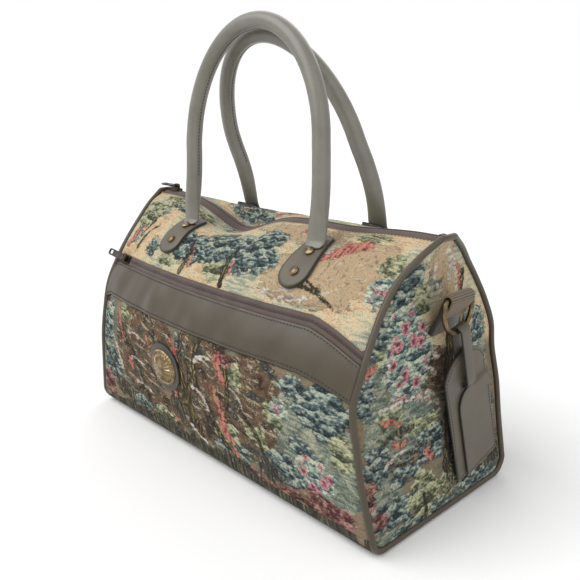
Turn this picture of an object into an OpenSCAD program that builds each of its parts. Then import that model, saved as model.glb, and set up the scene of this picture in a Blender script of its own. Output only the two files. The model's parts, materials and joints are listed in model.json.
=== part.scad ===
// Tapestry carpet bag with a front pocket, two rolled handles and a luggage tag.
// X runs along the bag, the front faces -Y, and the bag stands on Z = 0.

/* [Body] */
// Length of the base between the end seams
base_length = 380; // [340:1:440]
// Height of the ridge above the floor
ridge_height = 225; // [205:1:260]
// Depth of the end panels, front to back
end_depth = 184; // [165:1:215]
// How far each end panel is drawn in at mid height
waist_draw = 19; // [6:1:28]
// How far each end panel is drawn in at the ridge
ridge_draw = 9; // [2:1:16]
// How much deeper each side is at mid length than at its ends
belly = 15; // [6:1:20]
// How far each end panel swells outwards
end_swell = 6; // [2:1:9]
// Radius of the long lower edges
base_round = 16; // [11:1:22]
// Thickness of a padded tapestry panel
panel_t = 3; // [2:0.5:4]
// Thickness of the stiffening board inside the base
board_t = 2.5; // [1.5:0.5:4]
// Radius of the piping along the end seams
piping_r = 3; // [2:0.25:4]

/* [Pocket] */
// Height of the pocket zip above the floor
pocket_zip_z = 164; // [150:1:172]
// Width of the leather band below the pocket zip
band_w = 38; // [26:1:48]
// How far the leather band stands proud of the cloth
band_proud = 1; // [0.5:0.25:2]
// How far the zip runs down towards the right end
zip_fall = 16; // [4:1:22]
// Thickness of the cloth behind the pocket
pocket_cloth_t = 1.2; // [0.8:0.1:2]

/* [Zips] */
// Width of the tape that shows on each side of a chain
tape_w = 5.5; // [4:0.5:8]
// Thickness of a tape
tape_t = 1; // [0.6:0.1:1.5]
// Width of a chain of teeth
chain_w = 5; // [4:0.5:6]
// Thickness of a chain at its teeth
chain_t = 2.4; // [2:0.1:3]
// Distance from one pair of teeth to the next
tooth_pitch = 5; // [4:0.5:8]
// Length of a slider
slider_l = 12; // [9:0.5:15]
// Wall of a slider
slider_wall = 1.4; // [1:0.1:2]
// Length of the main zip's pull
main_pull_l = 26; // [20:1:34]
// Length of the pocket zip's pull
pocket_pull_l = 40; // [30:1:46]
// Width of a pull
pull_w = 7; // [5.5:0.5:9]
// Thickness of a pull
pull_t = 1.6; // [1.2:0.1:2.2]

/* [Handles] */
// Distance between the two legs of a handle
handle_span = 168; // [140:1:190]
// Height of a handle from its hinge line to the middle of its tube
handle_rise = 167; // [150:1:200]
// Radius of the rolled leather tube
grip_r = 7.5; // [6:0.25:9]
// Thickness of the tube's leather
grip_t = 1.6; // [1.2:0.1:2.4]
// Distance from the ridge edge of the panel to the upper rivet
rivet_setback = 42; // [38:1:50]
// Distance between the two rivets of a tab
rivet_pitch = 21; // [18:1:26]
// Width of a handle tab at its lower rivet
tab_w = 27; // [22:1:32]
// Thickness of a handle tab
tab_t = 2.6; // [2:0.1:3.4]
// Radius of a rivet's cap
rivet_r = 4.8; // [4:0.2:6]
// Height of a rivet's cap
rivet_h = 2.2; // [1.6:0.1:3]

/* [Rings] */
// Width of a D-ring between the middles of its sides
ring_w = 35; // [32:1:42]
// Height of a D-ring from its bar to the middle of its bow
ring_h = 27; // [24:1:36]
// Radius of a D-ring's wire
wire_r = 2; // [1.5:0.25:2.5]
// Height of a D-ring's bar above the floor
ring_z = 181; // [172:1:190]
// Width of a ring tab
ring_tab_w = 29; // [20:1:29]
// Thickness of one layer of a ring tab
ring_strap_t = 2.2; // [1.6:0.1:3]
// Height of a ring tab's sewn end above the floor
ring_tab_foot_z = 153; // [146:1:160]

/* [Tag] */
// Length of the tag
tag_l = 113; // [95:1:120]
// Width of the tag
tag_w = 53; // [44:1:60]
// Thickness of one leather layer of the tag
tag_t = 1.6; // [1.2:0.1:2]
// How far the tag leans towards the rear as it hangs
tag_lean = 16; // [0:1:20]
// Width of the loop strap
loop_w = 11; // [8:0.5:14]
// Thickness of the loop strap
loop_t = 1.8; // [1.4:0.1:2.2]
// Distance from the ring's bow down to the top of the tag
tag_drop = 19; // [12:1:22]
// Distance from the top of the tag down to its slot
slot_drop = 26; // [20:1:32]

/* [Medallion] */
// Radius of the leather disc
disc_r = 23; // [18:1:28]
// Thickness of the leather disc
disc_t = 2.2; // [1.6:0.1:3]
// Radius of the metal boss
boss_r = 15.5; // [11:0.5:17]
// Height of the metal boss
boss_h = 4; // [2.5:0.25:6]
// Distance of the medallion to the left of the bag's middle
disc_left = 45; // [20:1:70]
// Height of the medallion's centre above the floor
disc_z = 86; // [72:1:92]

/* [Hidden] */

// Colours
tapestry_colour = [0.52, 0.55, 0.47];
leather_colour = [0.42, 0.40, 0.36];
tape_colour = [0.42, 0.35, 0.33];
lining_colour = [0.33, 0.30, 0.27];
board_colour = [0.55, 0.47, 0.36];
bronze_colour = [0.42, 0.36, 0.27];
card_colour = [0.93, 0.91, 0.84];
rope_colour = [0.80, 0.76, 0.68];

// Clearances
seam_clear = 0.15;
sewn_gap = 0.3;
run_clear = 0.4;
overrun = 2;

// Facets
round_fn = 48;
stations = 24;
end_rows = 15;
piping_sides = 8;
table_steps = 120;

// Side profile, from the ridge down to the base: shares of half the end depth,
// of the ridge height and of the waist draw
side_shares = [
    [0.293, 0.947, 0.74],
    [0.489, 0.878, 1.00],
    [0.652, 0.800, 1.03],
    [0.793, 0.711, 0.97],
    [0.913, 0.613, 0.93],
    [0.989, 0.502, 1.00],
    [1.005, 0.373, 0.70],
    [1.000, 0.231, 0.42]
];
base_depth_share = 0.98;
hem_share = 0.06;
slope_share = 0.004;

end_half = base_length / 2;
half_depth = end_depth / 2;
base_half = half_depth * base_depth_share;
crest_half = chain_w / 2 + tape_w;
seam_gap = piping_r + sewn_gap;
side_points = concat(
    [[crest_half, ridge_height, ridge_draw]],
    [for (p = side_shares) [p[0] * half_depth, p[1] * ridge_height, p[2] * waist_draw]],
    [[base_half, base_round, 0]]
);

function mix(a, b, t) = a + (b - a) * t;

// Eases a share from 0 to 1.
function ease(t) =
    let (c = min(max(t, 0), 1))
    c * c * (3 - 2 * c);

// Point of a smooth curve through a list of points, at a share of its run.
function curve_at(points, share) =
    let (
        last = len(points) - 1,
        u = min(max(share, 0), 1) * last,
        i = min(floor(u), last - 1),
        t = u - i,
        a = points[max(i - 1, 0)],
        b = points[i],
        c = points[i + 1],
        d = points[min(i + 2, last)]
    )
    (2 * b + (c - a) * t + (2 * a - 5 * b + 4 * c - d) * t * t + (3 * b - a - 3 * c + d) * t * t * t) / 2;

// Depth, height and end draw of the side profile at a share of its run.
function side(s) = curve_at(side_points, s);

// Outward direction of the side profile, upright at the ridge hem and level at the base.
function side_normal(s) =
    let (
        d = side(s + slope_share) - side(s - slope_share),
        n = [-d[1], d[0]] / norm([d[0], d[1]]),
        top = 1 - ease(s / hem_share),
        foot = ease((s - 1 + hem_share) / hem_share),
        m = n * (1 - top - foot) + [foot, top]
    )
    m / norm(m);

// Half the length of a panel at a share of the side profile.
function panel_half(s) = end_half - side(s)[2] - seam_gap;

// Point of the bag's skin on the rear side: k runs from -1 to 1 along the bag.
function skin(k, s, lift = 0) =
    let (p = side(s), n = side_normal(s), swell = belly * sin(180 * s) * (1 - k * k))
    [k * panel_half(s), p[0] + swell + n[0] * lift, p[1] + n[1] * lift];

// The same at a distance x from the bag's middle.
function skin_at(x, s, lift = 0) = skin(x / panel_half(s), s, lift);

height_table = [for (i = [0:table_steps]) [side(i / table_steps)[1], i / table_steps]];

// Share of the side profile at a height.
function share_at(z) = lookup(z, height_table);

// Solid between an outer and an inner grid of points.
module slab(outer, inner) {
    rows = len(outer);
    cols = len(outer[0]);
    back = rows * cols;
    function at(i, j) = i * cols + j;
    outer_faces = [
        for (i = [0:rows - 2], j = [0:cols - 2])
        each [[at(i, j), at(i + 1, j), at(i + 1, j + 1)], [at(i, j), at(i + 1, j + 1), at(i, j + 1)]]
    ];
    inner_faces = [for (f = outer_faces) [f[2] + back, f[1] + back, f[0] + back]];
    rim = concat(
        [for (j = [0:cols - 1]) at(0, j)],
        [for (i = [1:rows - 1]) at(i, cols - 1)],
        [for (j = [cols - 2:-1:0]) at(rows - 1, j)],
        [for (i = [rows - 2:-1:1]) at(i, 0)]
    );
    rim_faces = [
        for (n = [0:len(rim) - 1])
        let (a = rim[n], b = rim[(n + 1) % len(rim)])
        each [[a, b, b + back], [a, b + back, a + back]]
    ];
    polyhedron(
        points = concat([for (row = outer) each row], [for (row = inner) each row]),
        faces = concat(outer_faces, inner_faces, rim_faces)
    );
}

// Grid of skin points between two lines, each given as a profile share for a place along the bag.
function skin_grid(top, bottom, rows, lift) = [
    for (i = [0:rows]) [
        for (j = [0:stations])
        let (k = 2 * j / stations - 1)
        skin(k, mix(top(k), bottom(k), i / rows), lift)
    ]
];

// Panel of cloth or leather on the rear side, between two lines and two depths.
module skin_panel(top, bottom, rows, outer_lift, inner_lift) {
    slab(skin_grid(top, bottom, rows, outer_lift), skin_grid(top, bottom, rows, inner_lift));
}

module on_front() {
    mirror([0, 1, 0])
    children();
}

module on_left() {
    mirror([1, 0, 0])
    children();
}

// Lines of the front, as profile shares along the bag
zip_run_share = 0.69;
left_run_share = 0.93;
left_fall_share = 0.35;
fall_power = 1.3;
band_fall_share = 0.7;

// Length of a run of points.
function run_length(points, i = 0) =
    i >= len(points) - 1 ? 0 : norm(points[i + 1] - points[i]) + run_length(points, i + 1);

profile_run = run_length([for (p = side_points) [p[0], p[1]]]);
seam_share = seam_clear / profile_run;

// How much of the run-down a line has at a place along the bag.
function fall(k) = k > 0
    ? pow(max(k - zip_run_share, 0) / (1 - zip_run_share), fall_power)
    : left_fall_share * pow(max(-k - left_run_share, 0) / (1 - left_run_share), fall_power);

pocket_zip_half = chain_w / 2 + tape_w;
zip_share = share_at(pocket_zip_z);
zip_slope = side_normal(zip_share);
zip_rise = pocket_zip_half * zip_slope[0];
chain_rise = chain_w / 2 * zip_slope[0];

function front_line(z, drop) = function (k) share_at(z - drop * fall(k));

// A line moved a whisker up or down to leave room for a seam.
function above(line) = function (k) line(k) - seam_share;
function below(line) = function (k) line(k) + seam_share;

ridge_line = function (k) 0;
base_line = function (k) 1 - seam_share;
zip_top_line = front_line(pocket_zip_z + zip_rise, zip_fall);
zip_upper_line = front_line(pocket_zip_z + chain_rise, zip_fall);
zip_lower_line = front_line(pocket_zip_z - chain_rise, zip_fall);
zip_foot_line = front_line(pocket_zip_z - zip_rise, zip_fall);
band_foot_line = front_line(pocket_zip_z - zip_rise - band_w * zip_slope[0], zip_fall * band_fall_share);

// Arc lengths down the roof of the bag at a handle's leg
handle_half = handle_span / 2;

function roof_point(i) =
    let (p = skin_at(handle_half, i / table_steps))
    [p[1], p[2]];

roof_table = [
    for (
        i = 0, run = 0;
        i <= table_steps;
        run = run + norm(roof_point(i + 1) - roof_point(i)), i = i + 1
    )
    [run, i / table_steps]
];

// Profile share at a distance down the roof from the ridge edge.
function roof_share(run) = lookup(run, roof_table);

// Direction square to the roof at a distance down it.
function roof_normal(run) =
    let (
        s = roof_share(run),
        a = skin_at(handle_half, s - slope_share),
        b = skin_at(handle_half, s + slope_share),
        d = b - a
    )
    [-d[2], d[1]] / norm([d[1], d[2]]);

// Handle places
knuckle_r = grip_r - grip_t;
hinge_lift = sewn_gap + tab_t + sewn_gap + knuckle_r;
hinge_setback = 15;
hinge_run = rivet_setback - hinge_setback;
tab_neck_run = hinge_run - knuckle_r;
tab_tip_run = rivet_setback + rivet_pitch + tab_w / 2;
hinge_foot = skin_at(handle_half, roof_share(hinge_run));
hinge_y = hinge_foot[1] + roof_normal(hinge_run)[0] * hinge_lift;
hinge_z = hinge_foot[2] + roof_normal(hinge_run)[1] * hinge_lift;
handle_lean = asin((hinge_y - grip_r - seam_clear) / handle_rise);
leg_l = handle_rise - handle_half;
neck_l = 14;
shank_r = 1.8;
washer_r = 4.2;
washer_t = 0.8;

// Ring places
ring_r = ring_w / 2;
ring_leg = ring_h - ring_r;
ring_standoff = 14;

// How far out the end panel's face lies at its middle, at a height.
function gusset_x(z) = end_half - side(share_at(z))[2] + end_swell * sin(180 * z / ridge_height);

// The ring hangs clear of the end panel, with room for the tag below it.
gusset_reach = max([for (i = [0:table_steps]) gusset_x(ring_z * i / table_steps)]);
ring_x = max(gusset_reach + run_clear + tag_t, gusset_x(ring_z) + ring_standoff);

// Main zip places
main_zip_z = ridge_height - panel_t / 2;
main_zip_half = end_half - ridge_draw - seam_gap;
stop_l = 3;
main_slider_x = -main_zip_half + stop_l + slider_l;

// Pocket zip places: the chain bows outwards on a long arc about an upright line
zip_bow = belly * sin(180 * zip_share);
zip_half_l = panel_half(zip_share);
zip_arc_r = (zip_half_l * zip_half_l + zip_bow * zip_bow) / (2 * zip_bow);
zip_mid_y = side(zip_share)[0] + zip_bow;
zip_arc_y = zip_mid_y - zip_arc_r;
zip_tilt = atan2(zip_slope[1], zip_slope[0]);
pocket_slider_share = 0.87;
pocket_slider_turn = asin(pocket_slider_share * zip_half_l / zip_arc_r);

module front_panel() {
    color(tapestry_colour)
    on_front()
    roof_panel(above(zip_top_line), 6);
}

module rear_panel() {
    color(tapestry_colour)
    roof_panel(base_line, end_rows);
}

// Side panel from the ridge down to a line, drilled for its four rivets.
module roof_panel(foot_line, rows) {
    difference() {
        skin_panel(ridge_line, foot_line, rows, 0, -panel_t);
        rivet_places()
        rivet_hole();
    }
}

// Base with rounded long edges and a flat underside.
module base_panel() {
    inner_r = base_round - panel_t;
    color(tapestry_colour)
    rotate([90, 0, 90])
    linear_extrude(height = 2 * (end_half - seam_gap), center = true)
    difference() {
        base_outline(base_round, base_half);
        base_outline(inner_r, base_half - panel_t);
    }
}

// Lower half of a rounded bar, seen along the bag.
module base_outline(r, half) {
    translate([-(half - r), base_round - r])
    square([2 * (half - r), r]);
    for (side_sign = [-1, 1])
    translate([side_sign * (half - r), base_round])
    intersection() {
        circle(r = r, $fn = round_fn);
        translate([-r, -r])
        square([2 * r, r]);
    }
}

board_margin = 8;
board_corner_r = 12;

module base_board() {
    color(board_colour)
    translate([0, 0, panel_t + seam_clear])
    linear_extrude(height = board_t)
    rounded_sheet(2 * (end_half - seam_gap - board_margin), 2 * (base_half - base_round), board_corner_r);
}

// Rectangle with rounded corners, about its middle.
module rounded_sheet(l, w, r) {
    square([l, w - 2 * r], center = true);
    square([l - 2 * r, w], center = true);
    for (x = [-1, 1], y = [-1, 1])
    translate([x * (l / 2 - r), y * (w / 2 - r)])
    circle(r = r, $fn = round_fn);
}

// Half the outline of an end, from the ridge to the middle of the base: depth, height and x.
corner_rows = 4;
function end_outline() = concat(
    [for (i = [0:end_rows]) let (p = side(i / end_rows)) [p[0], p[1], end_half - p[2]]],
    [
        for (i = [1:corner_rows])
        let (a = 90 * i / corner_rows)
        [base_half - base_round * (1 - cos(a)), base_round * (1 - sin(a)), end_half]
    ]
);

// Directions square to that outline.
function end_normals() = concat(
    [for (i = [0:end_rows]) side_normal(i / end_rows)],
    [for (i = [1:corner_rows]) let (a = 90 * i / corner_rows) [cos(a), -sin(a)]]
);

piping_sink_share = 0.4;

// How deep the piping's middle lies below the skin: wholly sunk along the base.
function piping_sink(i) =
    piping_r * mix(piping_sink_share, 1, ease((i - end_rows + corner_rows) / corner_rows));

// The end outline moved inwards.
function end_inset(extra) = [
    for (i = [0:len(end_outline()) - 1])
    let (p = end_outline()[i], n = end_normals()[i], d = piping_sink(i) + extra)
    [p[0] - n[0] * d, p[1] - n[1] * d, p[2]]
];

gusset_columns = 8;

// Grid of an end panel's face, moved inwards along the bag by a depth.
function gusset_grid(depth) = [
    for (p = end_inset(piping_r + seam_clear)) [
        for (j = [0:gusset_columns])
        let (
            c = 1 - 2 * j / gusset_columns,
            swell = end_swell * sin(180 * p[1] / ridge_height) * (1 - c * c)
        )
        [p[2] + swell - depth, c * p[0], p[1]]
    ]
];

module gusset() {
    color(tapestry_colour)
    slab(gusset_grid(0), gusset_grid(panel_t));
}

module right_gusset() {
    gusset();
}

module left_gusset() {
    on_left()
    gusset();
}

// Closed loop of the piping's middle, down the rear, along the base and up the front.
base_steps = 6;
function piping_path() =
    let (half = end_inset(0), last = len(half) - 1, foot = half[last])
    concat(
        [for (p = half) [p[2], p[0], p[1]]],
        [for (i = [1:base_steps - 1]) [foot[2], mix(foot[0], -foot[0], i / base_steps), foot[1]]],
        [for (i = [last:-1:0]) [half[i][2], -half[i][0], half[i][1]]]
    );

// Round tube along a closed path that stays near one upright plane.
module ring_tube(path, r, sides) {
    count = len(path);
    function along(i) =
        let (d = path[(i + 1) % count] - path[(i + count - 1) % count])
        d / norm(d);
    function outward(i) =
        let (t = along(i), x = [1, 0, 0], u = x - t * (x * t))
        u / norm(u);
    points = [
        for (i = [0:count - 1], j = [0:sides - 1])
        let (a = 360 * j / sides, u = outward(i), v = cross(along(i), u))
        path[i] + r * (cos(a) * u + sin(a) * v)
    ];
    faces = [
        for (i = [0:count - 1], j = [0:sides - 1])
        let (
            n = (i + 1) % count,
            m = (j + 1) % sides,
            a = i * sides + j,
            b = i * sides + m,
            c = n * sides + m,
            d = n * sides + j
        )
        each [[a, c, b], [a, d, c]]
    ];
    polyhedron(points = points, faces = faces);
}

module piping() {
    color(leather_colour)
    ring_tube(piping_path(), piping_r, piping_sides);
}

module right_piping() {
    piping();
}

module left_piping() {
    on_left()
    piping();
}

module pocket_panel() {
    color(tapestry_colour)
    on_front()
    skin_panel(below(band_foot_line), base_line, 6, 0, -panel_t);
}

module pocket_band() {
    color(leather_colour)
    on_front()
    skin_panel(below(zip_foot_line), above(band_foot_line), 3, band_proud, -panel_t);
}

// Cloth that parts the pocket from the main space.
module pocket_back_wall() {
    outer_lift = -panel_t - sewn_gap;
    color(lining_colour)
    on_front()
    skin_panel(below(zip_foot_line), base_line, 7, outer_lift, outer_lift - pocket_cloth_t);
}

tape_lift = -panel_t / 2 + tape_t / 2;

module pocket_zip_upper_tape() {
    color(tape_colour)
    on_front()
    skin_panel(below(zip_top_line), above(zip_upper_line), 1, tape_lift, tape_lift - tape_t);
}

module pocket_zip_lower_tape() {
    color(tape_colour)
    on_front()
    skin_panel(below(zip_lower_line), above(zip_foot_line), 1, tape_lift, tape_lift - tape_t);
}

tooth_share = 0.5;
root_share = 0.6;

// Middle of the pocket zip's chain at a station, and between stations.
function zip_station(j) =
    let (k = 2 * j / stations - 1)
    skin(k, share_at(pocket_zip_z - zip_fall * fall(k)), -panel_t / 2);

function zip_path(share) =
    let (u = share * stations, j = min(floor(u), stations - 1))
    mix(zip_station(j), zip_station(j + 1), u - j);

// Ribbed chain along the pocket zip.
module pocket_zip_chain() {
    teeth = floor(2 * zip_half_l / tooth_pitch);
    across = [0, -zip_slope[1], zip_slope[0]];
    out = [0, zip_slope[0], zip_slope[1]];
    half_w = chain_w / 2 - sewn_gap;
    rings = [
        for (i = [0:2 * teeth])
        let (p = zip_path(i / (2 * teeth)), h = (i % 2 == 0 ? root_share : 1) * chain_t / 2)
        [
            p + across * half_w + out * h,
            p + across * half_w - out * h,
            p - across * half_w - out * h,
            p - across * half_w + out * h
        ]
    ];
    last = len(rings) - 1;
    points = [for (ring = rings) each ring];
    faces = concat(
        [[0, 1, 2], [0, 2, 3]],
        [for (i = [0:last - 1], j = [0:3])
            let (m = (j + 1) % 4, a = 4 * i + j, b = 4 * i + m, c = b + 4, d = a + 4)
            each [[a, c, b], [a, d, c]]],
        [[4 * last, 4 * last + 2, 4 * last + 1], [4 * last, 4 * last + 3, 4 * last + 2]]
    );
    color(bronze_colour)
    on_front()
    polyhedron(points = points, faces = faces);
}

slider_w = chain_w + 2 * (run_clear + slider_wall);
slider_neck_share = 0.8;
pin_r = 1;
eye_wall = 1.2;
eye_r = pin_r + run_clear / 2 + eye_wall;
eye_w = 3.4;
post_t = 1.2;
pin_z = chain_t / 2 + run_clear + slider_wall + eye_r + run_clear;

// Plate of a slider seen from above, wide at its mouth.
module slider_outline() {
    half_l = slider_l / 2;
    half_w = slider_w / 2;
    neck_w = half_w * slider_neck_share;
    polygon([[-half_l, -half_w], [0, -half_w], [half_l, -neck_w], [half_l, neck_w], [0, half_w], [-half_l, half_w]]);
}

// Slider about the middle of its chain: two plates with side walls, and a bail for the pull.
module zip_slider() {
    plate_z = chain_t / 2 + run_clear;
    wall_gap = tape_t / 2 + run_clear;
    post_y = eye_w / 2 + run_clear + post_t / 2;
    color(bronze_colour)
    for (face = [0, 1])
    mirror([0, 0, face]) {
        translate([0, 0, plate_z])
        linear_extrude(height = slider_wall)
        slider_outline();
        translate([0, 0, wall_gap])
        linear_extrude(height = plate_z + slider_wall - wall_gap)
        difference() {
            slider_outline();
            square([slider_l + overrun, chain_w + 2 * run_clear], center = true);
        }
    }
    color(bronze_colour) {
        for (y = [-1, 1])
        translate([0, y * post_y, plate_z])
        bail_post(post_t, pin_z - plate_z);
        translate([0, 0, pin_z])
        rotate([90, 0, 0])
        cylinder(r = pin_r, h = 2 * post_y, center = true, $fn = round_fn);
    }
}

// Upright of the bail, with a round top about the pin.
module bail_post(t, h) {
    rotate([90, 0, 0])
    linear_extrude(height = t, center = true) {
        translate([-pin_r - post_t / 2, 0])
        square([2 * pin_r + post_t, h]);
        translate([0, h])
        circle(r = pin_r + post_t / 2, $fn = round_fn);
    }
}

// Pull that lies flat towards -X from its eye at the bail's pin.
module zip_pull(l) {
    slot_w = pull_w / 2;
    plate_start = eye_r + run_clear + post_t;
    color(bronze_colour)
    translate([0, 0, pin_z]) {
        difference() {
            union() {
                rotate([90, 0, 0])
                cylinder(r = eye_r, h = eye_w, center = true, $fn = round_fn);
                translate([-plate_start - pull_t, -eye_w / 2, -pull_t / 2])
                cube([plate_start + pull_t, eye_w, pull_t]);
            }
            rotate([90, 0, 0])
            cylinder(r = pin_r + run_clear / 2, h = eye_w + overrun, center = true, $fn = round_fn);
        }
        translate([0, 0, -pull_t / 2])
        linear_extrude(height = pull_t)
        difference() {
            pull_outline(plate_start, l, pull_w);
            pull_outline(l - pull_w - slot_w, l - slot_w / 2, slot_w);
        }
    }
}

// Straight bar towards -X with a round far end.
module pull_outline(from, to, w) {
    translate([-to + w / 2, -w / 2])
    square([to - from - w / 2, w]);
    translate([-to + w / 2, 0])
    circle(d = w, $fn = round_fn);
}

// Carries its children from the middle of the pocket zip's arc to a place along it.
module at_pocket_zip(turn) {
    translate([0, -zip_arc_y, pocket_zip_z])
    rotate([0, 0, turn])
    translate([0, zip_arc_y - zip_mid_y, 0])
    rotate([90 - zip_tilt, 0, 0])
    translate([0, 0, -panel_t / 2])
    children();
}

module pocket_zip_slider() {
    at_pocket_zip(-pocket_slider_turn)
    zip_slider();
}

module pocket_zip_pull() {
    at_pocket_zip(-pocket_slider_turn)
    zip_pull(pocket_pull_l);
}

// Staple over the end of a chain.
module zip_stop() {
    color(bronze_colour)
    translate([0, 0, chain_t / 2 + seam_clear + tape_t / 2])
    cube([stop_l, chain_w, tape_t], center = true);
}

stop_share = 0.97;

module pocket_zip_stops() {
    at_pocket_zip(-asin(stop_share * zip_half_l / zip_arc_r))
    zip_stop();
}

module main_zip_tape() {
    color(tape_colour)
    translate([-main_zip_half, chain_w / 2 + seam_clear, main_zip_z - tape_t / 2])
    cube([2 * main_zip_half, tape_w - 2 * seam_clear, tape_t]);
}

module main_zip_front_tape() {
    on_front()
    main_zip_tape();
}

module main_zip_rear_tape() {
    main_zip_tape();
}

module main_zip_chain() {
    teeth = floor(2 * main_zip_half / tooth_pitch);
    pitch = 2 * main_zip_half / teeth;
    color(bronze_colour)
    translate([-main_zip_half, 0, main_zip_z])
    rotate([90, 0, 0])
    linear_extrude(height = chain_w, center = true) {
        translate([0, -root_share * chain_t / 2])
        square([2 * main_zip_half, root_share * chain_t]);
        for (i = [0:teeth - 1])
        translate([i * pitch, -chain_t / 2])
        square([tooth_share * pitch, chain_t]);
    }
}

module at_main_zip(x) {
    translate([x, 0, main_zip_z])
    children();
}

module main_zip_slider() {
    at_main_zip(main_slider_x)
    zip_slider();
}

module main_zip_pull() {
    at_main_zip(main_slider_x)
    zip_pull(main_pull_l);
}

module main_zip_stops() {
    for (x = [-1, 1])
    at_main_zip(x * (main_zip_half - stop_l / 2))
    zip_stop();
}

// Carries its children to a rear handle's hinge line, leaning towards the ridge.
module at_hinge() {
    translate([0, hinge_y, hinge_z])
    rotate([handle_lean, 0, 0])
    children();
}

// Half ring of round bar standing on its two ends.
module bow(half, r) {
    rotate([90, 0, 0])
    rotate_extrude(angle = 180, $fn = round_fn)
    translate([half, 0])
    circle(r = r, $fn = round_fn);
}

// Round bar along a handle's legs and bow, from a height above the hinge line.
module handle_bar(r, from) {
    for (x = [-1, 1])
    translate([x * handle_half, 0, from])
    cylinder(r = r, h = leg_l - from, $fn = round_fn);
    translate([0, 0, leg_l])
    bow(handle_half, r);
}

// Rolled leather tube with a rounded foot on each leg that turns on the hinge line.
module grip() {
    color(leather_colour)
    at_hinge()
    difference() {
        union() {
            handle_bar(grip_r, neck_l);
            for (x = [-1, 1])
            translate([x * handle_half, 0, 0]) {
                cylinder(r1 = knuckle_r, r2 = grip_r, h = neck_l, $fn = round_fn);
                rotate([0, 90, 0])
                cylinder(r = knuckle_r, h = 2 * knuckle_r, center = true, $fn = round_fn);
            }
        }
        handle_bar(grip_r - grip_t, neck_l);
    }
}

// Rope that fills the leather tube.
module grip_core() {
    color(rope_colour)
    at_hinge()
    handle_bar(grip_r - grip_t - seam_clear, neck_l + seam_clear);
}

module rear_grip() {
    grip();
}

module rear_grip_core() {
    grip_core();
}

module front_grip() {
    on_front()
    grip();
}

module front_grip_core() {
    on_front()
    grip_core();
}

tab_rows = 12;
tab_columns = 4;
tab_neck_share = 0.7;
tab_end_share = 0.05;

// Half the width of a tab at a distance down the roof: a taper that ends in a half round.
function tab_half(run) =
    let (
        lower = rivet_setback + rivet_pitch,
        taper = (run - tab_neck_run) / (lower - tab_neck_run),
        round_part = (run - lower) / (tab_tip_run - lower)
    )
    run < lower
        ? tab_w / 2 * mix(tab_neck_share, 1, ease(taper))
        : tab_w / 2 * max(sqrt(1 - round_part * round_part), tab_end_share);

function tab_grid(lift) = [
    for (i = [0:tab_rows])
    let (run = mix(tab_neck_run, tab_tip_run, sin(90 * i / tab_rows)), s = roof_share(run)) [
        for (j = [0:tab_columns])
        let (c = 2 * j / tab_columns - 1)
        skin_at(handle_half + c * tab_half(run), s, lift)
    ]
];

// Leather tab sewn and riveted to the roof below a handle's leg.
module handle_tab() {
    color(leather_colour)
    difference() {
        slab(tab_grid(sewn_gap + tab_t), tab_grid(sewn_gap));
        rivet_places()
        rivet_hole();
    }
}

module rear_right_tab() {
    handle_tab();
}

module rear_left_tab() {
    on_left()
    handle_tab();
}

module front_right_tab() {
    on_front()
    handle_tab();
}

module front_left_tab() {
    on_front()
    on_left()
    handle_tab();
}

// Carries its children to the four rivets of the rear side, square to the roof.
module rivet_places() {
    for (x = [-1, 1], run = [rivet_setback, rivet_setback + rivet_pitch]) {
        foot = skin_at(handle_half, roof_share(run));
        n = roof_normal(run);
        translate([x * handle_half, foot[1], foot[2]])
        rotate([-atan2(n[0], n[1]), 0, 0])
        children();
    }
}

rivet_back = panel_t + 2 * sewn_gap;

module rivet_hole() {
    translate([0, 0, -rivet_back - overrun])
    cylinder(r = shank_r + seam_clear, h = 2 * (rivet_back + overrun), $fn = round_fn);
}

// Domed cap outside, a shank through the layers and a washer inside.
module rivet() {
    cap_z = sewn_gap + tab_t + sewn_gap;
    dome = [for (a = [0:15:90]) [rivet_r * cos(a), cap_z + rivet_h * sin(a)]];
    rotate_extrude($fn = round_fn)
    polygon(concat(
        dome,
        [
            [0, -rivet_back - washer_t],
            [washer_r, -rivet_back - washer_t],
            [washer_r, -rivet_back],
            [shank_r, -rivet_back],
            [shank_r, cap_z]
        ]
    ));
}

module rear_rivets() {
    color(bronze_colour)
    rivet_places()
    rivet();
}

module front_rivets() {
    on_front()
    rear_rivets();
}

// Carries its children to the medallion's place, facing outwards along Z.
module at_medallion() {
    s = share_at(disc_z);
    foot = skin_at(disc_left, s);
    d = skin_at(disc_left, s + slope_share) - skin_at(disc_left, s - slope_share);
    yaw = atan(2 * belly * sin(180 * s) * disc_left / pow(panel_half(s), 2));
    translate([-disc_left, -foot[1], foot[2]])
    rotate([90 - atan2(d[1], -d[2]), 0, -yaw])
    translate([0, 0, sewn_gap])
    children();
}

module medallion_disc() {
    edge = disc_t / 3;
    color(leather_colour)
    at_medallion()
    rotate_extrude($fn = round_fn)
    polygon([[0, 0], [disc_r, 0], [disc_r, disc_t - edge], [disc_r - edge, disc_t], [0, disc_t]]);
}

boss_rim_share = 0.82;
boss_groove_share = 0.3;

// Plain turned boss: a rim, a groove and a low dome.
module medallion_boss() {
    rim = boss_r * boss_rim_share;
    groove = boss_h * boss_groove_share;
    dome = [for (a = [0:15:90]) [rim * cos(a), groove + (boss_h - groove) * sin(a)]];
    color(bronze_colour)
    at_medallion()
    translate([0, 0, disc_t + seam_clear])
    rotate_extrude($fn = round_fn)
    polygon(concat(
        [[0, 0], [boss_r, 0], [boss_r, 2 * groove], [(boss_r + rim) / 2, 2 * groove]],
        dome
    ));
}

ring_tab_half = ring_strap_t;
ring_eye_r = wire_r + run_clear / 2;

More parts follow.
